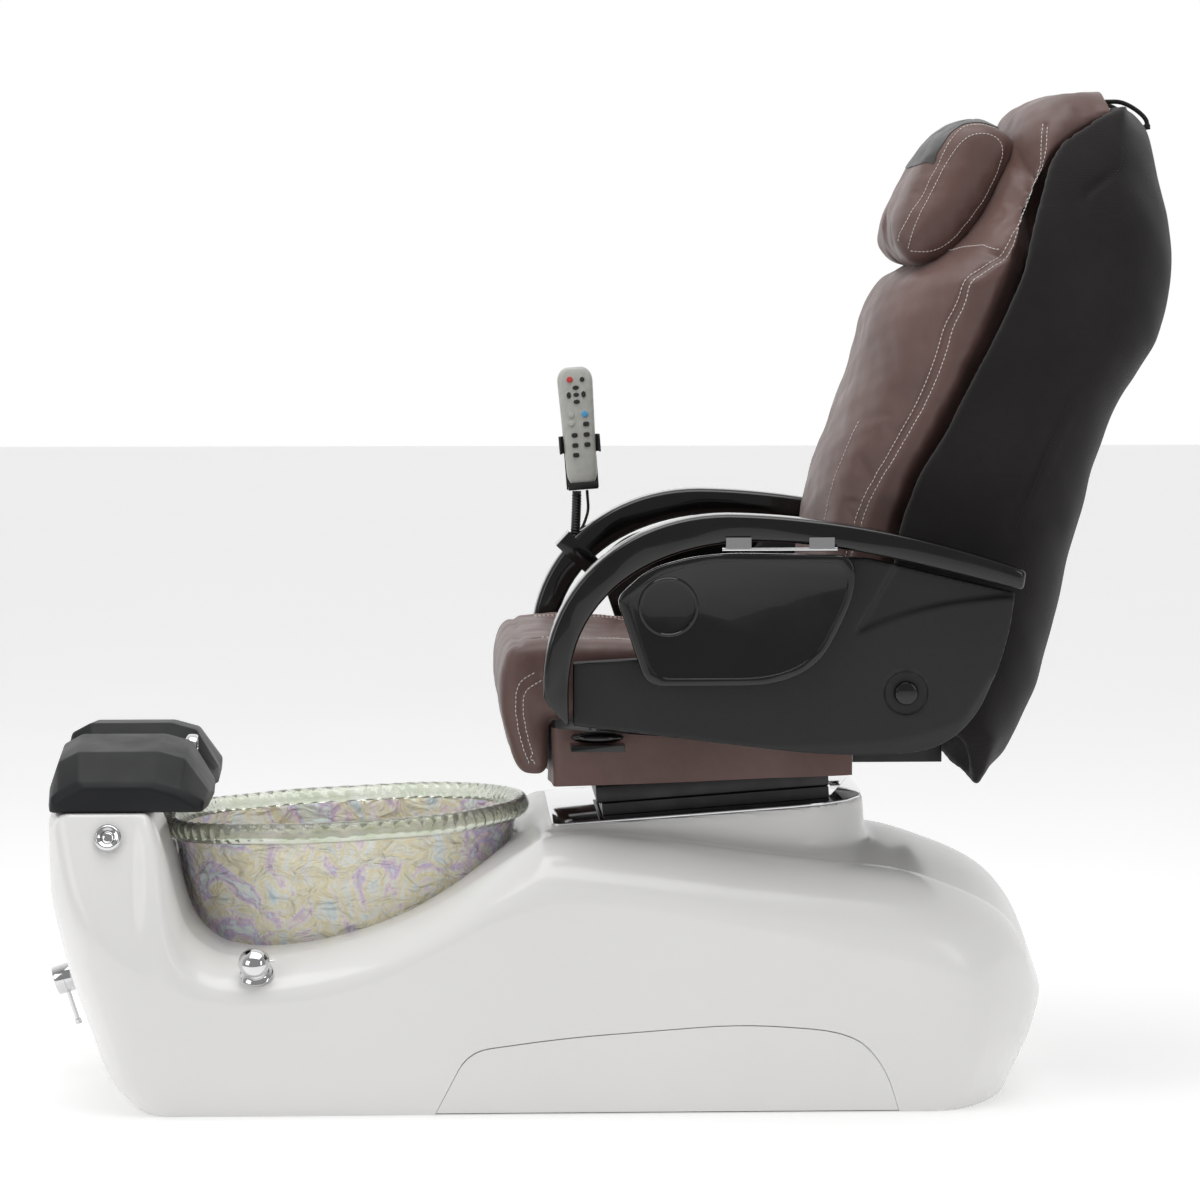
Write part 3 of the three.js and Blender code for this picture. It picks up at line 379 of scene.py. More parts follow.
def stitches(route, normals, pitch=6.2, length=4.3, radius=0.55):
    """A row of short threads along a route, each sunk into the surface at its ends."""
    route = np.array(route, float)
    reach = np.concatenate([[0], np.cumsum(np.linalg.norm(np.diff(route, axis=0), axis=1))])

    def at(s):
        return np.array([np.interp(s, reach, route[:, k]) for k in range(3)])

    def up(s):
        return np.array([np.interp(s, reach, normals[:, k]) for k in range(3)])

    threads = []
    for start in np.arange(1, reach[-1] - length, pitch):
        steps = np.linspace(0, 1, 5)
        arch = [
            at(start + t * length) + up(start) * (0.75 * math.sin(math.pi * t) - 0.35) * radius for t in steps
        ]
        threads.append(tube(arch, radius * np.array([0.45, 0.9, 1, 0.9, 0.45]), 6))
    return merged(*threads)


def groove(made, route, depth, width):
    """Presses a soft groove into a mesh along a route; a negative depth raises a welt."""
    mesh = made.data
    count = len(mesh.vertices)
    points, normals = np.empty(count * 3), np.empty(count * 3)
    mesh.vertices.foreach_get("co", points)
    mesh.vertices.foreach_get("normal", normals)
    points, normals = points.reshape(-1, 3), normals.reshape(-1, 3)
    line = (smooth_route(route, width / 2) - [ORIGIN_X, 0, 0]) / 1000
    low, high = line.min(0) - width / 400, line.max(0) + width / 400
    near = np.flatnonzero(((points > low) & (points < high)).all(1))
    if not len(near):
        return made
    apart = np.full(len(near), 1e9)
    for p in line:
        apart = np.minimum(apart, ((points[near] - p) ** 2).sum(1))
    press = depth / 1000 * np.exp(-apart / (width / 1000) ** 2)
    points[near] -= normals[near] * press[:, None]
    mesh.vertices.foreach_set("co", points.ravel())
    mesh.update()
    return made


def reshape(made, move):
    """Moves a mesh's points by a function of their place and normal, all in millimetres."""
    mesh = made.data
    count = len(mesh.vertices)
    points, normals = np.empty(count * 3), np.empty(count * 3)
    mesh.vertices.foreach_get("co", points)
    mesh.vertices.foreach_get("normal", normals)
    points, normals = points.reshape(-1, 3), normals.reshape(-1, 3)
    place = points * 1000 + [ORIGIN_X, 0, 0]
    points = points + move(place, normals) / 1000
    mesh.vertices.foreach_set("co", points.ravel())
    mesh.update()
    return made


def inflate(made, cap, pressure=4.0, frames=20):
    """Lets a cushion swell under cloth simulation, each point moving no further than cap."""
    scene = bpy.context.scene
    count = len(made.data.vertices)
    before = np.empty(count * 3)
    made.data.vertices.foreach_get("co", before)
    cloth = made.modifiers.new("cloth", "CLOTH")
    cloth.settings.use_pressure = True
    cloth.settings.uniform_pressure_force = pressure
    cloth.settings.effector_weights.gravity = 0
    cloth.settings.quality = 4
    cloth.settings.tension_stiffness = 12
    cloth.settings.compression_stiffness = 12
    cloth.settings.bending_stiffness = 0.5
    cloth.collision_settings.use_collision = False
    cloth.point_cache.frame_start = 1
    cloth.point_cache.frame_end = frames
    for number in range(1, frames + 1):
        scene.frame_set(number)
    settle_mesh(made)
    scene.frame_set(1)
    after = np.empty(count * 3)
    made.data.vertices.foreach_get("co", after)
    before, after = before.reshape(-1, 3), after.reshape(-1, 3)
    move = after - before
    reach = np.linalg.norm(move, axis=1, keepdims=True)
    limit = cap / 1000
    move *= limit * np.tanh(reach / limit) / np.maximum(reach, 1e-9)
    made.data.vertices.foreach_set("co", (before + move).ravel())
    made.data.update()
    return made


# ---------------------------------------------------------------- materials
class Look:
    """A Principled material whose detail comes from textures in the object's own coordinates."""

    def __init__(self, name, color, roughness, metallic=0.0, **settings):
        self.made = bpy.data.materials.new(name)
        self.made.use_nodes = True
        self.nodes, self.links = self.made.node_tree.nodes, self.made.node_tree.links
        self.shader = self.nodes["Principled BSDF"]
        self.place = self.nodes.new("ShaderNodeTexCoord").outputs["Object"]
        self.height = None
        self.set("Base Color", (*color, 1))
        self.set("Roughness", roughness)
        self.set("Metallic", metallic)
        for label, value in settings.items():
            self.set(label.replace("_", " "), value)

    def set(self, label, value):
        self.shader.inputs[label].default_value = value

    def stretched(self, scale):
        node = self.nodes.new("ShaderNodeMapping")
        node.inputs["Scale"].default_value = scale
        self.links.new(self.place, node.inputs["Vector"])
        return node.outputs["Vector"]

    def noise(self, scale, detail=3.0, roughness=0.5, distortion=0.0, stretch=None):
        node = self.nodes.new("ShaderNodeTexNoise")
        settings = {"Scale": scale, "Detail": detail, "Roughness": roughness, "Distortion": distortion}
        for label, value in settings.items():
            node.inputs[label].default_value = value
        self.links.new(self.stretched(stretch) if stretch else self.place, node.inputs["Vector"])
        return node.outputs["Fac"]

    def cells(self, scale, feature="DISTANCE_TO_EDGE"):
        node = self.nodes.new("ShaderNodeTexVoronoi")
        node.feature = feature
        node.inputs["Scale"].default_value = scale
        self.links.new(self.place, node.inputs["Vector"])
        return node.outputs["Distance"]

    def weave(self, size):
        """Crossed threads of that size in metres."""
        waves = []
        for direction in ("Y", "Z"):
            node = self.nodes.new("ShaderNodeTexWave")
            node.bands_direction = direction
            node.inputs["Scale"].default_value = 0.314 / size
            node.inputs["Distortion"].default_value = 0.4
            self.links.new(self.place, node.inputs["Vector"])
            waves.append(node.outputs["Fac"])
        return self.math("MAXIMUM", *waves)

    def math(self, operation, a, b):
        node = self.nodes.new("ShaderNodeMath")
        node.operation = operation
        for socket, value in zip(node.inputs, (a, b)):
            if isinstance(value, (int, float)):
                socket.default_value = value
            else:
                self.links.new(value, socket)
        return node.outputs["Value"]

    def colors(self, source, stops):
        node = self.nodes.new("ShaderNodeValToRGB")
        ramp_stops = node.color_ramp.elements
        while len(ramp_stops) < len(stops):
            ramp_stops.new(0.5)
        for stop, (position, color) in zip(ramp_stops, stops):
            stop.position = position
            stop.color = (*color, 1)
        self.links.new(source, node.inputs["Fac"])
        return node.outputs["Color"]

    def paint(self, source, stops):
        self.links.new(self.colors(source, stops), self.shader.inputs["Base Color"])
        return self

    def gloss(self, source, low, high):
        node = self.nodes.new("ShaderNodeMapRange")
        for label, value in (("From Min", 0.3), ("From Max", 0.7), ("To Min", low), ("To Max", high)):
            node.inputs[label].default_value = value
        self.links.new(source, node.inputs["Value"])
        self.links.new(node.outputs["Result"], self.shader.inputs["Roughness"])
        return self

    def bump(self, source, millimetres, strength=1.0):
        node = self.nodes.new("ShaderNodeBump")
        node.inputs["Distance"].default_value = millimetres / 1000
        node.inputs["Strength"].default_value = strength
        self.links.new(source, node.inputs["Height"])
        if self.height:
            self.links.new(self.height, node.inputs["Normal"])
        self.height = node.outputs["Normal"]
        self.links.new(self.height, self.shader.inputs["Normal"])
        return self


def shades(color, spread):
    """Stops from a little darker to a little lighter than a colour."""
    return [(0.3, [c * (1 - spread) for c in color]), (0.7, [c * (1 + spread) for c in color])]


def gelcoat():
    color = (0.83, 0.825, 0.815)
    look = Look("white_gelcoat", color, 0.24, Coat_Weight=0.22, Coat_Roughness=0.08, Specular_IOR_Level=0.4)
    look.paint(look.noise(2.2, 4), shades(color, 0.02))
    look.gloss(look.noise(6, 5), 0.22, 0.27)
    return look.bump(look.noise(38, 2), 0.12, 0.35).made


def leather(name, color, grain=520):
    look = Look(name, color, 0.42, Specular_IOR_Level=0.5, Sheen_Weight=0.12, Sheen_Roughness=0.4)
    look.paint(look.noise(7, 8, 0.65), shades(color, 0.24))
    look.gloss(look.noise(22, 6), 0.36, 0.52)
    look.bump(look.noise(16, 7, 0.6, 0.6), 1.6, 0.35)
    look.bump(look.cells(grain), 0.5, 0.45)
    return look.bump(look.noise(grain * 2.2, 3), 0.15, 0.35).made


def black_fabric():
    color = (0.0125, 0.0105, 0.0105)
    look = Look("black_fabric", color, 0.86, Sheen_Weight=0.18, Sheen_Roughness=0.5, Specular_IOR_Level=0.25)
    look.paint(look.noise(9, 8, 0.6), shades(color, 0.25))
    look.bump(look.noise(7, 4), 3.0, 0.25)
    return look.bump(look.weave(0.0014), 0.35, 0.6).made


def charcoal():
    color = (0.0135, 0.0135, 0.0145)
    look = Look("charcoal_plastic", color, 0.55, Specular_IOR_Level=0.4)
    look.paint(look.noise(900, 2), shades(color, 0.3))
    look.gloss(look.noise(5, 4), 0.48, 0.6)
    return look.bump(look.cells(1300, "F1"), 0.18, 0.5).made


def footrest_skin():
    color = (0.011, 0.0115, 0.013)
    look = Look("footrest_polyurethane", color, 0.5, Specular_IOR_Level=0.3)
    look.paint(look.noise(14, 6), shades(color, 0.2))
    look.gloss(look.noise(18, 6), 0.42, 0.56)
    return look.bump(look.noise(700, 3), 0.16, 0.5).made


def gloss_black():
    color = (0.0045, 0.004, 0.004)
    look = Look("gloss_black", color, 0.12, Coat_Weight=0.45, Coat_Roughness=0.03, Specular_IOR_Level=0.35)
    look.gloss(look.noise(24, 7), 0.09, 0.2)
    look.paint(look.noise(30, 4), shades(color, 0.2))
    return look.bump(look.noise(60, 2), 0.05, 0.3).made


def satin_black(name, color=(0.014, 0.0135, 0.0135), roughness=0.4):
    look = Look(name, color, roughness, Specular_IOR_Level=0.5)
    look.paint(look.noise(40, 5), shades(color, 0.25))
    look.gloss(look.noise(26, 6), roughness - 0.08, roughness + 0.1)
    return look.bump(look.noise(900, 2), 0.08, 0.4).made


def chrome():
    look = Look("chrome", (0.72, 0.72, 0.73), 0.05, 1.0)
    look.gloss(look.noise(35, 6), 0.03, 0.1)
    return look.bump(look.noise(90, 2), 0.02, 0.2).made


def steel():
    color = (0.36, 0.365, 0.37)
    look = Look("steel", color, 0.42, 1.0)
    look.paint(look.noise(12, 6), shades(color, 0.15))
    look.gloss(look.noise(30, 5, stretch=(1, 1, 14)), 0.34, 0.52)
    return look.bump(look.noise(200, 3, stretch=(1, 1, 12)), 0.05, 0.4).made


def plain(name, color, roughness, **settings):
    """A moulded plastic with faint mottling and a fine grain."""
    look = Look(name, color, roughness, **settings)
    look.paint(look.noise(120, 4), shades(color, 0.07))
    look.gloss(look.noise(60, 5), roughness - 0.05, roughness + 0.07)
    return look.bump(look.noise(1500, 2), 0.05, 0.4).made


PEARL = [
    (0.3, (0.7, 0.86, 0.94)), (0.38, (0.97, 0.98, 0.96)), (0.43, (0.99, 0.95, 0.8)),
    (0.47, (0.98, 0.87, 0.6)),
    (0.51, (0.99, 0.98, 0.94)), (0.55, (0.97, 0.8, 0.84)), (0.59, (0.76, 0.62, 0.9)),
    (0.63, (0.9, 0.96, 0.99)),
    (0.72, (0.92, 0.97, 0.88)),
]


def bowl_glass():
    look = Look("bowl_glass", (0.9, 0.9, 0.84), 0.08, Transmission_Weight=0.08, IOR=1.5,
                Thin_Film_Thickness=420, Thin_Film_IOR=1.38, Coat_Weight=0.5, Coat_Roughness=0.03)
    swirl = look.noise(13, 6, 0.6, 1.5, stretch=(1, 1, 0.8))
    look.paint(swirl, PEARL)
    look.bump(look.noise(26, 3, 0.5, 0.9, stretch=(1, 1, 1.6)), 22, 0.95)
    return look.bump(look.noise(60, 4, 0.55, 1.2), 4, 0.5).made


def rim_glass():
    look = Look("rim_glass", (0.8, 0.85, 0.72), 0.04, Transmission_Weight=0.82, IOR=1.5, Coat_Weight=0.3)
    look.paint(look.noise(26, 4, 0.5, 1.0), [(0.35, (0.66, 0.73, 0.55)), (0.65, (0.9, 0.92, 0.85))])
    return look.bump(look.noise(120, 3), 1.0, 0.5).made


GELCOAT = gelcoat()
LEATHER = leather("brown_leather", (0.118, 0.064, 0.055))
DARK_LEATHER = leather("dark_leather", (0.03, 0.026, 0.026))
FABRIC = black_fabric()
CHARCOAL = charcoal()
FOOTREST = footrest_skin()
GLOSS = gloss_black()
BLACK = satin_black("black_plastic")
PAINTED = satin_black("black_painted_metal", (0.016, 0.0145, 0.0145), 0.34)
RUBBER = satin_black("cable_rubber", (0.011, 0.011, 0.012), 0.5)
CHROME = chrome()
STEEL = steel()
PIPE = plain("grey_pipe", (0.5, 0.5, 0.49), 0.35)
SILVER = plain("silver_plastic", (0.5, 0.51, 0.475), 0.34, Specular_IOR_Level=0.6)
RED_KEY = plain("key_red", (0.62, 0.06, 0.05), 0.45)
BLUE_KEY = plain("key_blue", (0.08, 0.38, 0.66), 0.45)
BLACK_KEY = plain("key_black", (0.02, 0.02, 0.02), 0.45)
THREAD = plain("white_thread", (0.78, 0.74, 0.7), 0.7, Sheen_Weight=0.3)
BOWL_GLASS = bowl_glass()
RIM_GLASS = rim_glass()


# ---------------------------------------------------------------- stage, light and camera
def stage():
    look = Look("studio_floor", (0.86, 0.86, 0.86), 0.6, Emission_Color=(1, 1, 1, 1), Emission_Strength=0.3)
    look.paint(look.noise(1.5, 3), shades((0.86, 0.86, 0.86), 0.01))
    bpy.ops.mesh.primitive_plane_add(size=40, location=(0, 0, 0))
    floor = bpy.context.object
    floor.name = "studio_floor"
    floor.data.materials.append(look.made)
    world = bpy.data.worlds.new("studio")
    world.use_nodes = True
    nodes, links = world.node_tree.nodes, world.node_tree.links
    way = nodes.new("ShaderNodeSeparateXYZ")
    links.new(nodes.new("ShaderNodeTexCoord").outputs["Generated"], way.inputs["Vector"])
    bright = nodes.new("ShaderNodeMapRange")
    for label, value in (("From Min", -0.3), ("From Max", 0.7), ("To Min", 0.3), ("To Max", 1.0)):
        bright.inputs[label].default_value = value
    links.new(way.outputs["Y"], bright.inputs["Value"])
    nodes["Background"].inputs["Color"].default_value = (1, 1, 1, 1)
    links.new(bright.outputs["Result"], nodes["Background"].inputs["Strength"])
    bpy.context.scene.world = world
    bpy.context.scene.view_settings.view_transform = "Standard"


def light(name, place, target, size, energy):
    lamp = bpy.data.lights.new(name, "AREA")
    lamp.shape = "RECTANGLE"
    lamp.size, lamp.size_y = size
    lamp.energy = energy
    made = bpy.data.objects.new(name, lamp)
    made.location = place
    made.rotation_euler = (Vector(target) - Vector(place)).to_track_quat("-Z", "Y").to_euler()
    bpy.context.scene.collection.objects.link(made)


def camera():
    seen_from = Vector((-0.262, -6.425, 1.18))
    aimed_at = Vector((-0.004, 0, 0.674))
    lens = bpy.data.cameras.new("camera")
    lens.sensor_width = 36
    lens.lens = 136.2
    made = bpy.data.objects.new("camera", lens)
    made.location = seen_from
    made.rotation_euler = (aimed_at - seen_from).to_track_quat("-Z", "Y").to_euler()
    bpy.context.scene.collection.objects.link(made)
    bpy.context.scene.camera = made


stage()
light("overhead_softbox", (-0.2, -0.6, 3.6), (0, 0, 0.4), (3.0, 2.2), 58)
light("front_softbox", (-3.2, -2.6, 2.2), (0, 0, 0.6), (1.6, 2.2), 20)
light("side_strip", (2.6, -3.2, 2.0), (0.2, 0, 0.7), (0.8, 2.4), 12)
camera()


# ---------------------------------------------------------------- the moulded base
SHOULDER_EDGE = curve([
    [-800, 406], [-632, 406], [-612, 380], [-600, 340], [-588, 290], [-574, 250], [-552, 226], [-520, 211],
    [-480, 208], [-421, 214], [-353, 229], [-284, 253], [-216, 288], [-161, 324], [-120, 350], [-80, 370],
    [-40, 372], [50, 365], [200, 345], [330, 329], [394, 321], [470, 297], [540, 262], [575, 225], [605, 150],
    [660, 60],
])
CREASE = curve([
    [-800, 240], [-700, 240], [-659, 215], [-608, 182], [-554, 161], [-493, 155], [-419, 160], [-342, 176],
    [-246, 218], [-149, 267], [-53, 290], [45, 281], [190, 254], [335, 223], [470, 190], [605, 120],
    [660, 40],
])
EDGE_HALF_WIDTH = curve([[-800, 285], [-640, 285], [-590, 268], [-540, 260], [-100, 260], [0, 240],
    [605, 225]])
CROWN = curve([[-60, 0.5], [100, 18], [600, 34]])
FRONT_FACE = curve([[0, -655], [30, -683], [99, -711], [203, -746], [300, -765], [406, -768]])
REAR_FACE = curve([[0, 566], [30, 580], [90, 606], [140, 616], [200, 613], [250, 597], [300, 560],
    [420, 440]])
WALL, FOOT, SHELL = 358, 338, 10
PLINTH = {"x": -75, "z": 379, "slope": 4.2, "length": 441, "half": 200}
BOWL = {"x": -364, "z": 383, "half_x": 261, "half_y": 217, "tilt": 2.85, "power": 2.3}


def lowered(line, x, inset):
    """A height line moved in by a wall's thickness, also where the line is steep."""
    if not inset:
        return line(x)
    return np.minimum(line(x), np.minimum(line(x - inset), line(x + inset))) - inset


def base_section(x, y, z, inset):
    """The long walls and the shoulder."""
    edge = lowered(SHOULDER_EDGE, x, inset)
    crease = np.minimum(lowered(CREASE, x, inset), edge - 22)
    half = EDGE_HALF_WIDTH(x) - 0.6 * inset
    wall = WALL - inset
    wide, rise = wall - half, edge - crease
    away = np.abs(y)
    top = z - edge - CROWN(x) * np.clip(1 - (away / half) ** 2, 0, 1)
    turned_in = (FOOT - WALL) * (1 - np.clip(z / crease, 0, 1)) ** 1.6
    side = away - wall - turned_in
    u, v = np.maximum((away - half) / wide, 1e-6), np.maximum((z - crease) / rise, 1e-6)
    power = 1.75 - 0.7 * (1 - ramp(x, -650, -600))
    round_about = (u**power + v**power) ** (1 / power)
    reach = (rise * v**power + wide * u**power) / (u**power + v**power)
    shoulder = (round_about - 1) * reach
    return np.where(away < half, top, np.where(z < crease, side, shoulder))


def base_plan(x, y, z, inset):
    """The blunt front and the rounded tail."""
    away = np.abs(y)
    half = WALL + 12 - inset
    ends = []
    rear = (REAR_FACE(z) - inset, 1, 190, 290)
    front = (-FRONT_FACE(z) - inset, -1, 95, 190)
    for face, way, reach_x, reach_y in (rear, front):
        u = np.maximum((way * x - face + reach_x) / reach_x, 0.01)
        v = np.maximum((away - half + reach_y) / reach_y, 0)
        about = np.hypot(u, v)
        ends.append((about - 1) * (reach_x * u * u + reach_y * v * v) / np.maximum(about, 1e-3) ** 2)
    return np.maximum(*ends)


def plinth(x, y, z, inset):
    along, up = turned_back(x, z, PLINTH["x"], PLINTH["z"], -PLINTH["slope"])
    radius = 14 + 96 * ramp(along, 150, 260)
    half_long, half = PLINTH["length"] / 2 - inset, PLINTH["half"] - inset
    u = np.abs(along - PLINTH["length"] / 2) - half_long + radius
    v = np.abs(y) - half + radius
    plan = np.hypot(np.maximum(u, 0), np.maximum(v, 0)) + np.minimum(np.maximum(u, v), 0) - radius
    body = both(plan, up + 4 + inset, 5)
    return both(body, -(z - 150), 1)


def bowl_frame(x, z):
    return turned_back(x, z, BOWL["x"], BOWL["z"], -BOWL["tilt"])


ROOM = curve([[-230, 120], [-222, 66], [-196, 44], [-150, 36], [-60, 22], [-30, 15], [-18, 0], [120, 0]])


def bowl_room(x, y, z):
    """The room that the bowl takes, with a little clearance."""
    u, w = bowl_frame(x, z)
    inset = ROOM(w) - 2
    about = (np.abs(u / (BOWL["half_x"] - inset)) ** BOWL["power"]
             + np.abs(y / (BOWL["half_y"] - inset)) ** BOWL["power"]) ** (1 / BOWL["power"])
    return both((about - 1) * 200, -(w + 230), 1)


def base_shell(x, y, z):
    def body(inset):
        hull = both(base_section(x, y, z, inset), base_plan(x, y, z, inset), 26)
        return either(hull, plinth(x, y, z, inset), 16)

    outer = both(body(0), -z, 2)
    hollow = body(SHELL)
    return both(both(outer, -hollow, 2), -bowl_room(x, y, z), 9)


PANEL_OUTLINE = [
    [-236, 3], [-192, 88, 30], [-60, 106, 60], [180, 124, 60], [330, 112, 60], [374, 62, 30], [393, 3],
]


def grown(corners, by):
    """The service panel's outline moved outwards at its top and ends."""
    middle = 80
    return rounded([
        [x + by * (1 if x > middle else -1), z + by * (z > 10) - by * (z < 10), *r] for x, z, *r in corners
    ])


def build_base():
    step = 5
    shell = loose("moulded_base", surface(base_shell, (-784, -366, -6), (632, 366, 424), step))
    for side in (1, -1):
        span = (300, 400) if side > 0 else (-400, -300)
        name = "service_panel_right" if side > 0 else "service_panel_left"
        node = "access_panel_right" if side > 0 else "access_panel_left"
        panel = shell.copy()
        panel.data = shell.data.copy()
        panel.name = name
        bpy.context.scene.collection.objects.link(panel)
        boolean(panel, loose("cutter", prism(PANEL_OUTLINE_POINTS[0], *span)), "INTERSECT")
        boolean(shell, loose("cutter", prism(PANEL_OUTLINE_POINTS[1], *span)))
        finish_piece(panel, "base", "white_gelcoat", GELCOAT, [node], 30)
    for part in base_holes():
        boolean(shell, loose("cutter", part))
    finish_piece(shell, "base", "white_gelcoat", GELCOAT, ["base_shell"], 30)


PANEL_OUTLINE_POINTS = (grown(PANEL_OUTLINE, 0), grown(PANEL_OUTLINE, 1.3))
AIR_SWITCH = {"place": (-679, -302, 376), "axis": (0, -math.cos(math.radians(23)),
    math.sin(math.radians(23)))}
MIXER = {"place": (-733, 0, 146), "axis": (-math.cos(math.radians(18)), 0, -math.sin(math.radians(18)))}
DRAIN = {"place": (-478, -326, 193), "axis": (-0.12, -math.cos(math.radians(50)), math.sin(math.radians(50)))}


def base_holes():
    """Cutters for the fittings, the mains inlet and the cable slot."""
    for fitting, radius in ((AIR_SWITCH, 12), (MIXER, 12), (DRAIN, 9)):
        yield lathe([[radius, -60], [radius, 30]], fitting["axis"], fitting["place"], 32)
    lean = Matrix.Rotation(math.radians(24), 3, "Y")
    corners = [[(dx, 24 * a, 15 * b) for a, b in ((-1, -1), (1, -1), (1, 1), (-1, 1))] for dx in (-40, 30)]
    points, faces = skin(corners)
    yield points @ np.array(lean).T + [603, 0, 84], faces
    slope = Matrix.Rotation(math.radians(-PLINTH["slope"]), 3, "Y")
    oval = rounded([[404, -16, 7], [418, -16, 7], [418, 16, 7], [404, 16, 7]])
    points, faces = skin([[(x, y, z) for x, y in oval] for z in (-40, 12)])
    yield points @ np.array(slope).T + [PLINTH["x"], 0, PLINTH["z"]], faces


build_base()


# ---------------------------------------------------------------- pieces made from the CAD shapes
RECORD = frame["record"]
BODY_OF = {node: body for body, nodes in RECORD["behaviour"]["bodies"].items() for node in nodes}
SLOT_OF = {part["node"]: part["material_slot"] for part in RECORD["subparts"]}
MATERIALS = {
    "white_gelcoat": GELCOAT, "chrome": CHROME, "steel": STEEL, "black_painted_metal": PAINTED,
    "footrest_polyurethane": FOOTREST, "grey_pipe": PIPE, "charcoal_plastic": CHARCOAL,
    "black_plastic": BLACK,
    "gloss_black": GLOSS, "brown_leather": LEATHER, "black_fabric": FABRIC, "silver_plastic": SILVER,
    "cable_rubber": RUBBER, "key_red": RED_KEY, "key_blue": BLUE_KEY, "key_black": BLACK_KEY,
    "bowl_glass": BOWL_GLASS,
}


def remade(node, edge, suffix="body", material=None, angle=30):
    """The CAD node's own shape with rounded edges."""
    mesh = NODES[node].data.copy()
    made = bpy.data.objects.new(f"{node}_{suffix}", mesh)
    bpy.context.scene.collection.objects.link(made)
    weld = made.modifiers.new("weld", "WELD")
    weld.merge_threshold = 1e-5
    settle_mesh(made)
    for name in ("custom_normal", "sharp_edge", "sharp_face"):
        if name in made.data.attributes:
            made.data.attributes.remove(made.data.attributes[name])
    if edge:
        bevel(made, edge, 3, angle)
    return finish_piece(made, BODY_OF[node], SLOT_OF[node], material or MATERIALS[SLOT_OF[node]], [node], 40)


def placed(part, degrees, place):
    """A part turned about +Y and then moved."""
    points, faces = part
    turn = np.array(Matrix.Rotation(math.radians(degrees), 3, "Y"))
    return np.asarray(points, float) @ turn.T + np.array(place, float), faces


# ---------------------------------------------------------------- glass bowl
def build_bowl():
    route = [
        [49, -190], [43, -172], [38, -150], [31, -105], [24, -60], [19, -32], [12, -25], [4, -21], [-1, -12],
        [1, -3], [8, 2.5], [17, 1], [23, -6], [28, -20], [33, -60], [39, -100], [47, -150], [52, -172],
        [60, -188],
    ]
    wall = smooth_route([[inset, 0, height] for inset, height in route], 3.2)
    count = 330
    angle = np.linspace(0, 2 * math.pi, count, endpoint=False)
    c, s = np.cos(angle), np.sin(angle)
    rings = []
    rim_rows = []
    for row, (inset, _, height) in enumerate(wall):
        x = np.sign(c) * np.abs(c) ** (2 / BOWL["power"]) * (BOWL["half_x"] - inset)
        y = np.sign(s) * np.abs(s) ** (2 / BOWL["power"]) * (BOWL["half_y"] - inset)
        z = np.full(count, height)
        reach = np.hypot(x, y)
        on_rim = ramp(height, -34, -22) if row < len(wall) / 2 else ramp(height, -26, -10)
        twist = np.sin(78 * angle + 0.55 * row) * 1.25 * on_rim
        ripple = wander(x, y, z, 62, 3) * 1.5 * (1 - on_rim) + wander(x, y, z, 160, 8) * 1.2
        out = 1 + (twist * (1 if row < len(wall) / 2 else -1) + ripple) / reach
        lift = twist * 0.5 * on_rim + wander(x, y, z * 0, 210, 5) * 1.6 * on_rim
        rings.append(np.stack([x * out, y * out, z + lift], 1))
        rim_rows.append(float(np.max(on_rim)) > 0.5)
    flat = []
    for reach_x, height in ((25, -214), (95, -213.5), (150, -209), (140, -203), (70, -205.5), (25, -206)):
        reach_y = reach_x if reach_x == 25 else reach_x * 0.83
        flat.append(np.stack([c * reach_x, s * reach_y, np.full(count, height)], 1))
    part = skin(flat[:3] + rings + flat[3:], loop=True)
    made = loose("hand_formed_bowl", placed(part, -BOWL["tilt"], (BOWL["x"], 0, BOWL["z"])))
    finish_piece(made, "base", "bowl_glass", BOWL_GLASS, ["glass_bowl"], 60)
    made.data.materials.append(RIM_GLASS)
    for face in made.data.polygons:
        row = face.index // count - 3
        face.material_index = int(0 <= row < len(rim_rows) and rim_rows[row])


build_bowl()


# ---------------------------------------------------------------- footrest and sprayer
def footrest_ring(y, top, inset):
    brow = min(434, top - 22)
    i = inset
    return [(x, y, z) for x, z in (
        (-768 + i, 407), (-766 + i, brow), (-754 + i, top - 14), (-728 + i, top), (-612 - i, top),
        (-576 - i, top - 10), (-543 - i, brow - 6), (-545 - i, 407),
    )]


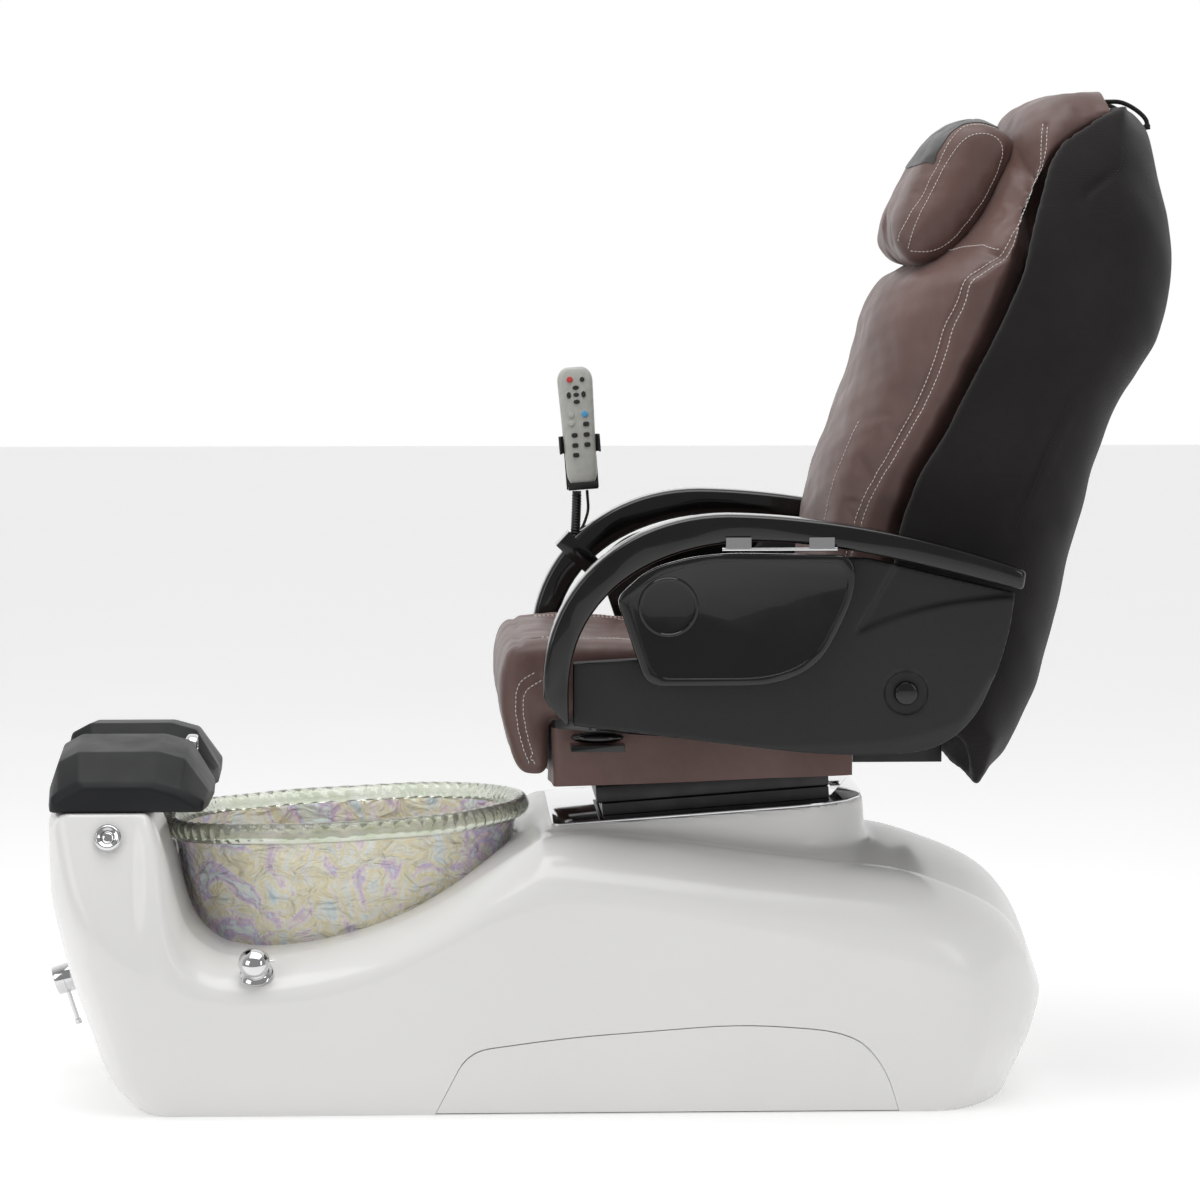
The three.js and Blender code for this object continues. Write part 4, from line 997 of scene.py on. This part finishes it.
def build_footrest():
    half = [[272, 440, 14], [264, 450, 7], [212, 484, 2], [70, 494, 0], [52, 476, 3], [36, 455, 6],
        [14, 449, 6]]
    stations = half + [[-y, top, inset] for y, top, inset in half[::-1]]
    rings = [footrest_ring(y, top, inset) for y, top, inset in stations][::-1]
    made = loose("moulded_footrest", skin(rings))
    bevel(made, 7, 4, 9)
    well = lathe([[14.2, 425], [14.2, 520]], (0, 0, 1), (-686, 16, 0), 40)
    boolean(made, loose("cutter", well))
    finish_piece(made, "base", "footrest_polyurethane", FOOTREST, ["footrest"], 35)
    handle = [
        [0, 0], [6, 0], [8.2, 0.8], [9, 2.4], [9.2, 5], [10.8, 6], [11, 8], [10.6, 12], [9.6, 30],
        [9.5, 60], [10, 80],
        [11, 94], [11.3, 95], [11.3, 97.5], [11, 98.4], [14, 101], [17.6, 103.6], [18.6, 106], [19, 112],
        [18.4, 116],
        [16.8, 117.8], [15.6, 117.9], [15.2, 116.9], [0, 116.9],
    ]
    body = lathe(handle, (1, 0, -0.05), (-690, 16, 470), 72)
    stem = lathe([[0, 428], [9, 428], [10, 429], [10, 471], [9.4, 472], [0, 472]], (0, 0, 1),
        (-686, 16, 0), 48)
    piece("sprayer_handle", merged(body, stem), "hand_sprayer", "chrome", CHROME, ["sprayer"], 32)
    jets = []
    way = np.array([1, 0, -0.05])
    for ring_radius, count in ((4, 6), (8.2, 12), (12.4, 18)):
        for k in range(count):
            turn = 2 * math.pi * k / count
            place = np.array([-690, 16, 470]) + way * 116.2
            place = place + [0, ring_radius * math.cos(turn), ring_radius * math.sin(turn)]
            jets.append(lathe([[0, 0], [0.9, 0], [0.8, 1.6], [0, 1.9]], (1, 0, -0.05), place, 10))
    piece("sprayer_nozzles", merged(*jets), "hand_sprayer", "cable_rubber", RUBBER)


build_footrest()


# ---------------------------------------------------------------- fittings on the base
def fitting(name, profile, where, body, stands_for, material=CHROME, slot="chrome"):
    return piece(name, lathe(profile, where["axis"], where["place"], 72), body, slot, material, stands_for,
        32)


def along(where, distance):
    way = np.array(where["axis"]) / np.linalg.norm(where["axis"])
    return np.array(where["place"], float) + way * distance


def build_fittings():
    fitting("switch_bezel", [
        [9.5, -22], [9.5, 5.4], [9.9, 6.1], [12, 6.9], [13.6, 7.7], [14.8, 8], [15.6, 7.8], [18, 6],
        [18.8, 4.2],
        [19, 2], [19, 1], [18.7, 0.8], [11.4, 0.8], [11.4, -22], [9.5, -22],
    ], AIR_SWITCH, "base", ["air_switch_bezel"])
    fitting("switch_button", [
        [0, -10], [8.6, -10], [9, -9.6], [9, 4.6], [8.6, 5.4], [7.7, 5.9], [6.6, 5.7], [6.2, 5.5],
        [4, 6.2], [0, 6.5],
    ], AIR_SWITCH, "jet_button", ["air_switch_button"])
    fitting("tap_body", [
        [0, -30], [8, -30], [10, -29], [10, 0.4], [20.4, 0.4], [21, 1.2], [21, 4.6], [20.2, 5.6], [17.4, 6.2],
        [17, 7], [17, 16], [16.6, 16.9], [0, 17],
    ], MIXER, "base", ["mixer_body"])
    handle = lathe([
        [0, 17.4], [19, 17.4], [20.2, 18], [20.5, 19], [20.5, 29.6], [20, 30], [20, 30.6], [20.5, 31],
        [20.5, 42.4],
        [20, 43.8], [18.8, 44.5], [17.6, 44.3], [0, 44.3],
    ], MIXER["axis"], MIXER["place"], 80)
    at = along(MIXER, 32)
    down = np.array([math.sin(math.radians(18)), 0, -math.cos(math.radians(18))])
    knob = [[0, 15], [3.2, 15], [3.2, 60], [4.6, 60.6], [4.8, 61.6], [4.8, 67], [4.2, 68], [0, 68]]
    pin = lathe(knob, down, at, 36)
    piece("tap_handle", merged(handle, pin), "mixer_lever", "chrome", CHROME, ["mixer_handle"], 32)
    fitting("drain_collar", [
        [0, -24], [8, -24], [8, 0.4], [22.4, 0.4], [23, 1.2], [22.8, 3.4], [21.4, 5], [18.4, 6],
        [17.2, 7.2], [17, 9],
        [17, 13.2], [16.6, 13.9], [0, 14],
    ], DRAIN, "base", ["drain_control_body"])
    dome = [
        [0, 14.4], [17, 14.4], [18, 14.7], [20.2, 16.8], [21, 18.4], [21.4, 21], [21.5, 24], [21, 28],
        [19.5, 31.5],
        [17, 34.8], [13.6, 37.4], [8.6, 39.5], [4, 40.3], [0, 40.5],
    ]
    piece("drain_dome", merged(lathe(dome, DRAIN["axis"], DRAIN["place"], 80), drain_pin()), "drain_knob",
        "chrome",
          CHROME, ["drain_control_knob"], 32)


def drain_pin():
    way = Vector(DRAIN["axis"]).normalized()
    side = Vector((1, 0, 0)) - way * way.x
    low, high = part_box("drain_control_knob")
    middle = along(DRAIN, 24)
    span = (np.array(high) - np.array(low)) * 1000
    out = np.array(side.normalized()) * (1 if abs(high[0] * 1000 + ORIGIN_X - middle[0]) > span[0] / 2 else -1)
    return lathe([[0, 18], [2, 18], [2, 27], [1.6, 28], [0, 28]], out, along(DRAIN, 24), 20)


build_fittings()
for node, edge in (
    ("plinth_plate", 0.9), ("slide_track", 1.2), ("slide_carriage", 2.0), ("bowl_drain", 0.5),
    ("drain_pipe", 0),
    ("jet_motor", 1.5), ("jet_housing", 1.2), ("jet_impeller", 0.5), ("control_box", 3), ("base_frame", 2),
    ("power_inlet", 0.8), ("seat_frame", 2), ("recline_drive", 3), ("back_frame", 1.5),
    ("massage_carriage", 1.5),
    ("massage_rollers", 1), ("tray_hinge_left", 0.8), ("tray_hinge_right", 0.8), ("seat_lever_mount", 2),
    ("pivot_cap_left", 0.8), ("pivot_cap_right", 0.8),
):
    remade(node, edge)


# ---------------------------------------------------------------- soft pieces
def creases(x, y, z):
    """How far worn leather rises and sinks, in millimetres."""
    return wander(x, y * 0.6, z * 1.3, 95, 2) * 1.5 + wander(x, y, z, 34, 6) * 0.5


def soft(name, field, low, high, step, cap, body, material, stands_for, seams=(),
    slot="brown_leather"):
    """A cushion: a moulded shape that swells, and whose seams are then drawn in."""
    made = loose(name, surface(field, low, high, step * (1)))
    inflate(made, cap)
    divide = made.modifiers.new("divide", "SUBSURF")
    divide.levels = divide.render_levels = 1
    settle_mesh(made)
    reshape(made, lambda p, n: n * creases(*p.T)[:, None])
    for route, depth, width in seams:
        groove(made, route, depth, width)
    finish_piece(made, body, slot, material, stands_for, 75)
    return made


def sewn(name, on, routes, body, pitch=6.2, length=4.3, radius=0.6, material=THREAD):
    """Rows of stitches laid on a cushion's surface."""
    tree = tree_of(on)
    rows = []
    for route in routes:
        line, normals = snapped(tree, smooth_route(route, 2.5), 0.35)
        rows.append(stitches(line, normals, pitch, length, radius))
    return piece(name, merged(*rows), body, "brown_leather", material, (), 60)


SEAT_OUTLINE = [
    [-152, 556, 40], [-140, 634, 36], [-60, 640, 60], [120, 630, 60], [330, 604, 20], [330, 524, 12],
    [-78, 524, 6],
    [-82, 450, 18], [-124, 450, 28],
]
SEAT_SIDE = polygon(rounded([[x, z + 3 * (z < 530), r] for x, z, r in SEAT_OUTLINE], 9))


def seat_field(x, y, z):
    dish = 10 * np.clip(1 - (y / 190) ** 2, 0, 1) * ramp(x, -90, 0) * ramp(z, 560, 600)
    return both(SEAT_SIDE(x, z + dish), np.abs(y) - 250, 34)


def across(x_at, low=-190, high=190, z=640, steps=13):
    return [[x_at(y), y, z] for y in np.linspace(low, high, steps)]


def build_seat():
    quilting = [
        (across(lambda y, at=at: at - 26 * (1 - (y / 190) ** 2), z=636), 5.5, 7) for at in (-20, 45, 110,
        175, 240)
    ]
    borders = [([[x, side * 190, 640] for x in np.linspace(-96, 320, 18)], 6, 7) for side in (1, -1)]
    outer = [(-99, 595), (-117, 583), (-125, 567), (-126, 536), (-118, 495), (-106, 458)]
    inner = [(-92, 587), (-110, 576), (-118, 561), (-118, 535), (-110, 495), (-96, 459)]
    rolls = [([[x, side * 250, z] for x, z in inner], 3.0, 5) for side in (1, -1)]
    front = [(across(lambda y: -120, -250, 250, 634, 15), 4, 6)]
    made = soft("seat_leather", seat_field, (-170, -268, 436), (344, 268, 662), 6.5, 22, "seat", LEATHER,
                ["seat_cushion"], quilting + borders + rolls + front)
    routes = []
    for side in (1, -1):
        routes += [[[x, side * 256, z] for x, z in line] for line in (outer, inner)]
        routes += [[[x, side * (190 + off), 645] for x in np.linspace(-90, 310, 18)] for off in (-5, 5)]
    sewn("seat_stitching", made, routes, "seat")


BACK_HALF = curve([
    [430, 0.93], [520, 1], [800, 1], [900, 1.03], [1100, 1.08], [1200, 1.07], [1290, 0.98], [1350, 0.86],
    [1390, 0.72],
])
REAR_X = curve([[z, x] for x, z in (
    (526, 434), (546, 458), (560, 478), (583, 525), (602, 570), (612, 606), (629, 672), (645, 743),
    (665, 815),
    (683, 886), (705, 947), (735, 998), (765, 1050), (777, 1100), (782, 1160), (777, 1210), (766, 1265),
    (755, 1330),
    (738, 1358), (712, 1376),
)])
COVER_FRONT = [
    (716, 1374), (650, 1338), (618, 1316), (600, 1284), (582, 1225), (564, 1150), (534, 1075), (496, 1000),
    (459, 925),
    (419, 855), (399, 800), (388, 740), (376, 660), (366, 600), (368, 556), (392, 528), (440, 512),
    (482, 500),
    (500, 452),
]
FRONT_X = curve([[z, x] for x, z in COVER_FRONT[::-1]])
PAD_SIDE = polygon(rounded([
    [292, 655, 14], [312, 812, 30], [326, 872, 30], [352, 934, 30], [377, 1005, 30], [392, 1078, 20],
    [420, 1122, 20],
    [460, 1140, 20], [504, 1168, 20], [540, 1212, 20], [574, 1280, 20], [586, 1318, 12], [596, 1352, 16],
    [640, 1376, 20], [714, 1372, 10], [714, 1356, 6], [690, 1352, 8], [646, 1332, 10],
    [614, 1312], [597, 1282], [579, 1225], [561, 1150],
    [531, 1075], [493, 1000], [456, 925], [416, 855], [396, 800], [385, 740], [376, 660, 12],
], 5))
PAD_FRONT = curve([
    [655, 292], [787, 310], [816, 313], [851, 321], [887, 337], [922, 351], [957, 365], [993, 376],
    [1028, 384],
    [1064, 390], [1099, 408], [1127, 432], [1165, 498], [1240, 545], [1318, 584], [1346, 590], [1380, 640],
])
PAD_TURN = curve([
    [652, 20], [800, 42], [855, 56], [924, 72], [1013, 88], [1088, 98], [1154, 60], [1204, 42], [1279, 24],
    [1333, 18],
    [1380, 20],
])


def pad_field(x, y, z):
    half = 252 * BACK_HALF(z)
    turn = PAD_TURN(z) * (np.abs(y) / half) ** 2.6
    front = PAD_SIDE(x - turn, z)
    return both(both(front, PAD_SIDE(x, z), 5), np.abs(y) - half, 18)


def on_pad(y, z):
    return [PAD_FRONT(z) + PAD_TURN(z) * (abs(y) / (252 * BACK_HALF(z))) ** 2.6, y, z]


def build_pad():
    seams = [([on_pad(y, 1136 + 24 * (y / 235) ** 2) for y in np.linspace(-240, 240, 25)], 8, 8)]
    seams += [([on_pad(y, 984 + 10 * (y / 150) ** 2) for y in np.linspace(-150, 150, 17)], 7, 9)]
    for side in (1, -1):
        edge = [(168, 1145), (160, 1100), (152, 1050), (150, 1000), (154, 940), (162, 880), (172, 800),
            (176, 700)]
        seams.append(([on_pad(side * y, z) for y, z in edge], 8, 8))
        seams.append(([on_pad(side * (252 * BACK_HALF(z) - 26), z) for z in np.linspace(700, 1340, 40)],
            3.5, 6))
        for y, z in ((150, 984), (160, 1110), (60, 984), (165, 900)):
            seams.append(([on_pad(side * (y + d), z + 0.5 * d) for d in (-14, 0, 14)], 5, 12))
    made = soft("back_leather", pad_field, (280, -292, 640), (706, 292, 1392), 7, 22, "backrest", LEATHER,
                ["back_cushion"], seams)
    routes = []
    for side in (1, -1):
        for off in (20, 31):
            routes.append([on_pad(side * (252 * BACK_HALF(z) - off), z) for z in np.linspace(700, 1345, 44)])
        routes.append([on_pad(side * (152 + 8), z) for z in (780, 850, 930)])
    routes.append([on_pad(y, 1147 + 24 * (y / 235) ** 2) for y in np.linspace(-232, 232, 25)])
    sewn("back_stitching", made, routes, "backrest")


def cover_field(x, y, z):
    def body(inset, open_front):
        half = 256 * BACK_HALF(z) - inset
        rear, front = REAR_X(z) - inset, FRONT_X(z) + 4 - open_front
        depth = np.maximum(rear - front, 30)
        round_rear = 8 + 110 * ramp((x - front) / depth, 0.1, 0.9)
        walls = both(x - rear, np.abs(y) - half, round_rear)
        ends = both(z - (1374 - inset) - 0.12 * (x - 700), (440 + inset) - z + 0.6 * (x - 526), 16)
        return both(both(walls, front - x, 8), ends, 22)

    return both(body(0, 0), -body(13, 60), 3)


def build_cover():
    step = 5.6
    made = loose("rear_cover_cloth", surface(cover_field, (352, -292, 424), (800, 292, 1388), step))
    divide = made.modifiers.new("divide", "SUBSURF")
    divide.levels = divide.render_levels = 1
    settle_mesh(made)
    seam = [(712, 1319), (698, 1287), (664, 1256), (648, 1237), (646, 1190), (646, 1146), (655, 1116),
        (662, 1088),
            (659, 1045), (627, 966), (592, 884), (551, 788)]
    reshape(made, lambda p, n: n * (wander(*p.T, 150, 4) * 1.6 + wander(*p.T, 60, 9) * 0.6)[:, None])
    for side in (1, -1):
        groove(made, [[x, side * 262, z] for x, z in seam], 4.5, 8)
        groove(made, [[x + 12, side * 262, z + 4] for x, z in seam], -1.6, 7)
    finish_piece(made, "backrest", "black_fabric", FABRIC, ["back_shell"], 75)
    tree = tree_of(made)
    rows = []
    for side in (1, -1):
        line, normals = snapped(tree, smooth_route([[x + 5, side * 262, z + 2] for x, z in seam], 2.5), 0.3)
        rows.append(stitches(line, normals, 5, 3.6, 0.45))
    piece("rear_cover_stitching", merged(*rows), "backrest", "black_fabric", BLACK, (), 60)
    remade("back_rear_flap", 1.2)
    for side in (1, -1):
        knots = [[706, 60, 1377], [728, 62, 1376], [748, 66, 1366], [762, 70, 1352], [764, 71, 1338]]
        tie = smooth_route([[x, side * y, z] for x, y, z in knots], 2)
        width = 3.2 + 1.4 * (np.linspace(0, 1, len(tie)) > 0.9)
        name = "cover_tie_right" if side > 0 else "cover_tie_left"
        piece(name, tube(tie, width, 14), "backrest", "black_fabric", FABRIC, (), 60)


PILLOW_SIDE = polygon(rounded([[x - 2, z, r] for x, z, r in (
    (396, 1182, 18), (424, 1142, 22), (478, 1150, 40), (532, 1207, 60), (566, 1272, 40), (583, 1320, 22),
    (546, 1352, 26), (490, 1350, 40), (452, 1288, 60),
)], 9))


def pillow_field(x, y, z):
    thin = 9 * (np.abs(y) / 150) ** 3
    return both(PILLOW_SIDE(x, z) + thin, np.abs(y) - 148, 30)


def build_pillow():
    made = soft("pillow_leather", pillow_field, (380, -166, 1126),
        (600, 166, 1368), 5.5, 12, "pillow", LEATHER,
                ["headrest_pillow"], [([[x, side * 143, z] for x, z in (
                    (410, 1176), (440, 1240), (470, 1300), (500, 1338), (545, 1338), (562, 1310), (540, 1250),
                    (505, 1195), (466, 1160), (428, 1156), (410, 1176))], 2.5, 5) for side in (1, -1)])
    patch = made.copy()
    patch.data = made.data.copy()
    patch.name = "pillow_insert"
    bpy.context.scene.collection.objects.link(patch)
    reshape(patch, lambda p, n: n * 1.1)
    outline = rounded([[400, 1262, 10], [452, 1296, 14], [486, 1262, 10], [600, 1400], [400, 1400]], 5)
    boolean(patch, loose("cutter", prism(outline, -118, 118)), "INTERSECT")
    finish_piece(patch, "pillow", "brown_leather", DARK_LEATHER, (), 75)
    routes = [[[x, side * 128, z] for x, z in (
        (412, 1182), (440, 1246), (470, 1300), (505, 1342), (548, 1342))] for side in (1, -1)]
    routes += [[[x, side * 140, z] for x, z in (
        (420, 1170), (446, 1238), (474, 1290), (506, 1326), (540, 1326), (550, 1300), (528, 1244),
        (496, 1200),
        (462, 1172), (424, 1168))] for side in (1, -1)]
    sewn("pillow_stitching", made, routes, "pillow", 5.4, 3.8, 0.5)


SKIRT = {"front": -76, "rear": 336, "half": 252.5}


def build_skirt():
    corner = 14
    front, rear, half = SKIRT["front"], SKIRT["rear"], SKIRT["half"]
    plan = rounded([[rear, -half], [front, -half, corner], [front, half, corner], [rear, half]], 10)
    lengths = np.concatenate([[0], np.cumsum(np.linalg.norm(np.diff(plan, axis=0), axis=1))])
    reach = np.linspace(0, lengths[-1], 266)
    route = np.stack([np.interp(reach, lengths, plan[:, 0]), np.interp(reach, lengths, plan[:, 1]),
        0 * reach], 1)
    rows = []
    for t in np.linspace(0, 1, 15):
        share = (route[:, 0] - front) / (rear - front)
        top, bottom = 518 - 32 * share, 437 + 15 * share
        way = np.gradient(route, axis=0)
        out = np.stack([-way[:, 1], way[:, 0], 0 * reach], 1)
        out /= np.linalg.norm(out, axis=1, keepdims=True)
        fold = np.sin(reach / 34 + 1.2 * np.sin(reach / 90)) * 2.6 * t + np.sin(reach / 11) * 0.5 * t
        row = route + out * fold[:, None]
        row[:, 2] = top + (bottom - top) * t
        rows.append(row)
    points = np.vstack(rows)
    n = len(route)
    faces = [
        (r * n + i, r * n + i + 1, (r + 1) * n + i + 1,
        (r + 1) * n + i) for r in range(14) for i in range(n - 1)
    ]
    made = piece("skirt_leather", (points, faces), "seat", "brown_leather", LEATHER, ["seat_skirt"], 75)


build_seat()
build_pad()
build_cover()
build_pillow()
build_skirt()


# ---------------------------------------------------------------- side panels, arms and trays
def both_sides(name, build, body, slot, material, node, angle=40, edge=0):
    for side, part in (("left", mirrored(build)), ("right", build)):
        where = body if isinstance(body, str) else body[side == "right"]
        piece(f"{name}_{side}", part, where, slot, material, [f"{node}_{side}"], angle, edge)


PANEL_SIDE = polygon(rounded([
    [-49, 528], [-49, 613, 4], [120, 623, 30], [205.7, 679, 20], [263, 755, 10], [346, 756, 20],
    [551, 707, 4],
    [544, 655, 30], [527, 598, 40], [499, 533, 60], [440, 487, 60], [300, 485, 60],
], 9))
LOW_LINE = curve([[-60, 536], [41, 513], [204, 499], [340, 503], [470, 530], [520, 600]])
DIAGONAL = curve([[600, 306], [644, 326], [714, 366], [760, 392]])
RIDGE = curve([[300, 640], [410, 681], [468, 694], [530, 701]])


def panel_field(x, y, z):
    chamfer = 9 * ramp(LOW_LINE(x) - z, -2, 26)
    behind = 4.5 * ramp(x - DIAGONAL(z), 0, 9) * ramp(z - RIDGE(x), -4, 4)
    boss = np.hypot(x - 403, z - 571)
    recess = 3.2 * ramp(31 - boss, 0, 2.5)
    face = 318 - chamfer - behind - recess
    return both(both(PANEL_SIDE(x, z), np.abs(y) - face, 3.5), 290.5 - np.abs(y), 1)


def build_sides():
    step = 3.2
    shape = surface(panel_field, (-62, 284, 476), (562, 326, 766), step)
    both_sides("side_panel_shell", shape, "seat", "charcoal_plastic", CHARCOAL, "side_panel", 32)
    outline = np.vstack([
        [[-90, 566], [-90, 595]], bezier((-90, 595), (-86, 720), (20, 816), (160, 816))[1:],
        bezier((160, 816), (300, 814), (440, 782), (562, 739))[1:], [[558, 712]],
        bezier((558, 712), (430, 745), (310, 779), (195, 779))[1:],
        bezier((195, 779), (70, 779), (-56, 715), (-56, 575))[1:], [[-56, 528]],
    ])
    both_sides("armrest_shell", prism(outline, 296, 352), "seat", "gloss_black", GLOSS, "armrest", 50, 7)
    for side in (1, -1):
        build_tray(side)


def tray_outline(inset):
    i = inset
    return rounded([
        [8 + 1.2 * i, 704, 14], [52 + 0.8 * i, 744 - i, 26], [132, 765 - i, 60], [329 - i, 761 - i, 24],
        [330 - i, 705, 50], [268 - 0.6 * i, 585 + i, 90], [48 + i, 585 + i, 24],
    ], 12)


def build_tray(side):
    board = loose("tray", prism(tray_outline(0), 338, 356))
    bevel(board, 3.4, 4, 30)
    boolean(board, loose("cutter", prism(tray_outline(10), 353, 360)))
    place = (78, 0, 692)
    lip = [[36, 352], [36, 355.2], [37, 356], [39, 356], [40, 355.2], [40, 352], [36, 352]]
    ring = lathe(lip, (0, 1, 0), place, 96)
    boolean(board, loose("cutter", lathe([[36, 342], [36, 360]], (0, 1, 0), place, 96)))
    bevel(board, 1.1, 3, 40)
    floor = lathe([[0, 341], [35.9, 341], [35.9, 343], [30, 342.4], [0, 342.4]], (0, 1, 0), place, 96)
    name = "right" if side > 0 else "left"
    parts = [merged(ring, floor)]
    if side < 0:
        reshape(board, lambda p, n: p * [0, -2, 0])
        board.data.flip_normals()
        parts = [mirrored(part) for part in parts]
    finish_piece(board, f"{name}_tray", "gloss_black", GLOSS, [f"tray_{name}"], 35)
    piece(f"cup_ring_{name}", parts[0], f"{name}_tray", "gloss_black", GLOSS, (), 35)


build_sides()


# ---------------------------------------------------------------- seat lever, remote and cable
def build_lever():
    turn = np.linspace(-math.pi / 2, math.pi / 2, 25)
    profile = [[np.sign(math.cos(t)) * abs(math.cos(t)) ** 0.8, math.sin(t)] for t in turn]
    points, faces = lathe(profile, (0, 0, 1), (0, 0, 0), 72)
    points = points * [36, 22, 8] + [-15, -284, 509]
    piece("lever_paddle", (points, faces), "release_lever", "gloss_black", GLOSS, ["seat_lever"], 60)


def remote_case():
    rings = []
    for up in np.concatenate([-89 + 22 * (1 - np.cos(np.linspace(0, math.pi / 2, 14))), np.linspace(-60,
        60, 25),
                              89 - 22 * (1 - np.cos(np.linspace(math.pi / 2, 0, 14)))]):
        near_end = np.clip((abs(up) - 67) / 22, 0, 1)
        end = math.sqrt(max(1 - near_end**2, 0.0004))
        half = (24.5 + 2.5 * up / 89) * (0.35 + 0.65 * end) * (1 if end > 0.03 else 0.3)
        deep = 11 * (0.3 + 0.7 * math.sqrt(end))
        angle = np.linspace(0, 2 * math.pi, 64, endpoint=False)
        c, s = np.cos(angle), np.sin(angle)
        rings.append(np.stack([half * np.sign(c) * np.abs(c) ** 0.62, deep * np.sign(s) * np.abs(s) ** 0.62,
                               np.full(64, up)], 1))
    return skin(rings)


def in_remote(part):
    return placed(part, -4.4, (-19, 330, 907))


def build_remote():
    piece("remote_body", in_remote(remote_case()), "seat", "silver_plastic", SILVER, ["remote_case"], 45)
    keys = [(11.4, 3.7), (-7, -12), (11, -12), (-7, -27), (11, -27), (-7, -41.5)]
    parts = []
    for u, v in keys:
        oval = rounded([[u - 4.6, v - 3.4, 3.2], [u + 4.6, v - 3.4, 3.2], [u + 4.6, v + 3.4, 3.2],
                        [u - 4.6, v + 3.4, 3.2]], 6)
        parts.append(in_remote(prism(oval, -12.4, -10)))
    piece("remote_fixed_keys", merged(*parts), "seat", "key_black", BLACK_KEY, (), 40, 0.4)
    for node in NODES:
        if node.startswith("key_"):
            remade(node, 0.5)
    remade("remote_holder", 0.8)
    remade("remote_arm", 0.8)
    route = smooth_route([[-24, 330, 744], [-23, 330, 762], [-22, 330, 785], [-21.5, 329, 806]], 0.7)
    ribs = 6.9 + 0.75 * np.sin(np.arange(len(route)) * 0.7 * 2 * math.pi / 4.2)
    piece("gooseneck_ribs", tube(route, ribs, 28), "seat", "gloss_black", GLOSS, (), 80)
    lead = smooth_route([
        [-6, 333, 812], [-5, 336, 800], [-4, 343, 785], [-6, 352, 772], [-14, 356.9, 752], [-34, 356.9, 722],
        [-52, 356.9, 690], [-66, 356.9, 655], [-74, 356.9, 615], [-78, 356.9, 580], [-81, 356.5, 556],
        [-80, 350, 534], [-74, 334, 516], [-62, 316, 511], [-51, 306, 513], [-45, 304, 519],
        [-44, 304, 525.4],
    ], 3)
    piece("remote_lead", tube(lead, 2.2, 14), "seat", "cable_rubber", RUBBER, ["remote_cable"], 60)


build_lever()
build_remote()
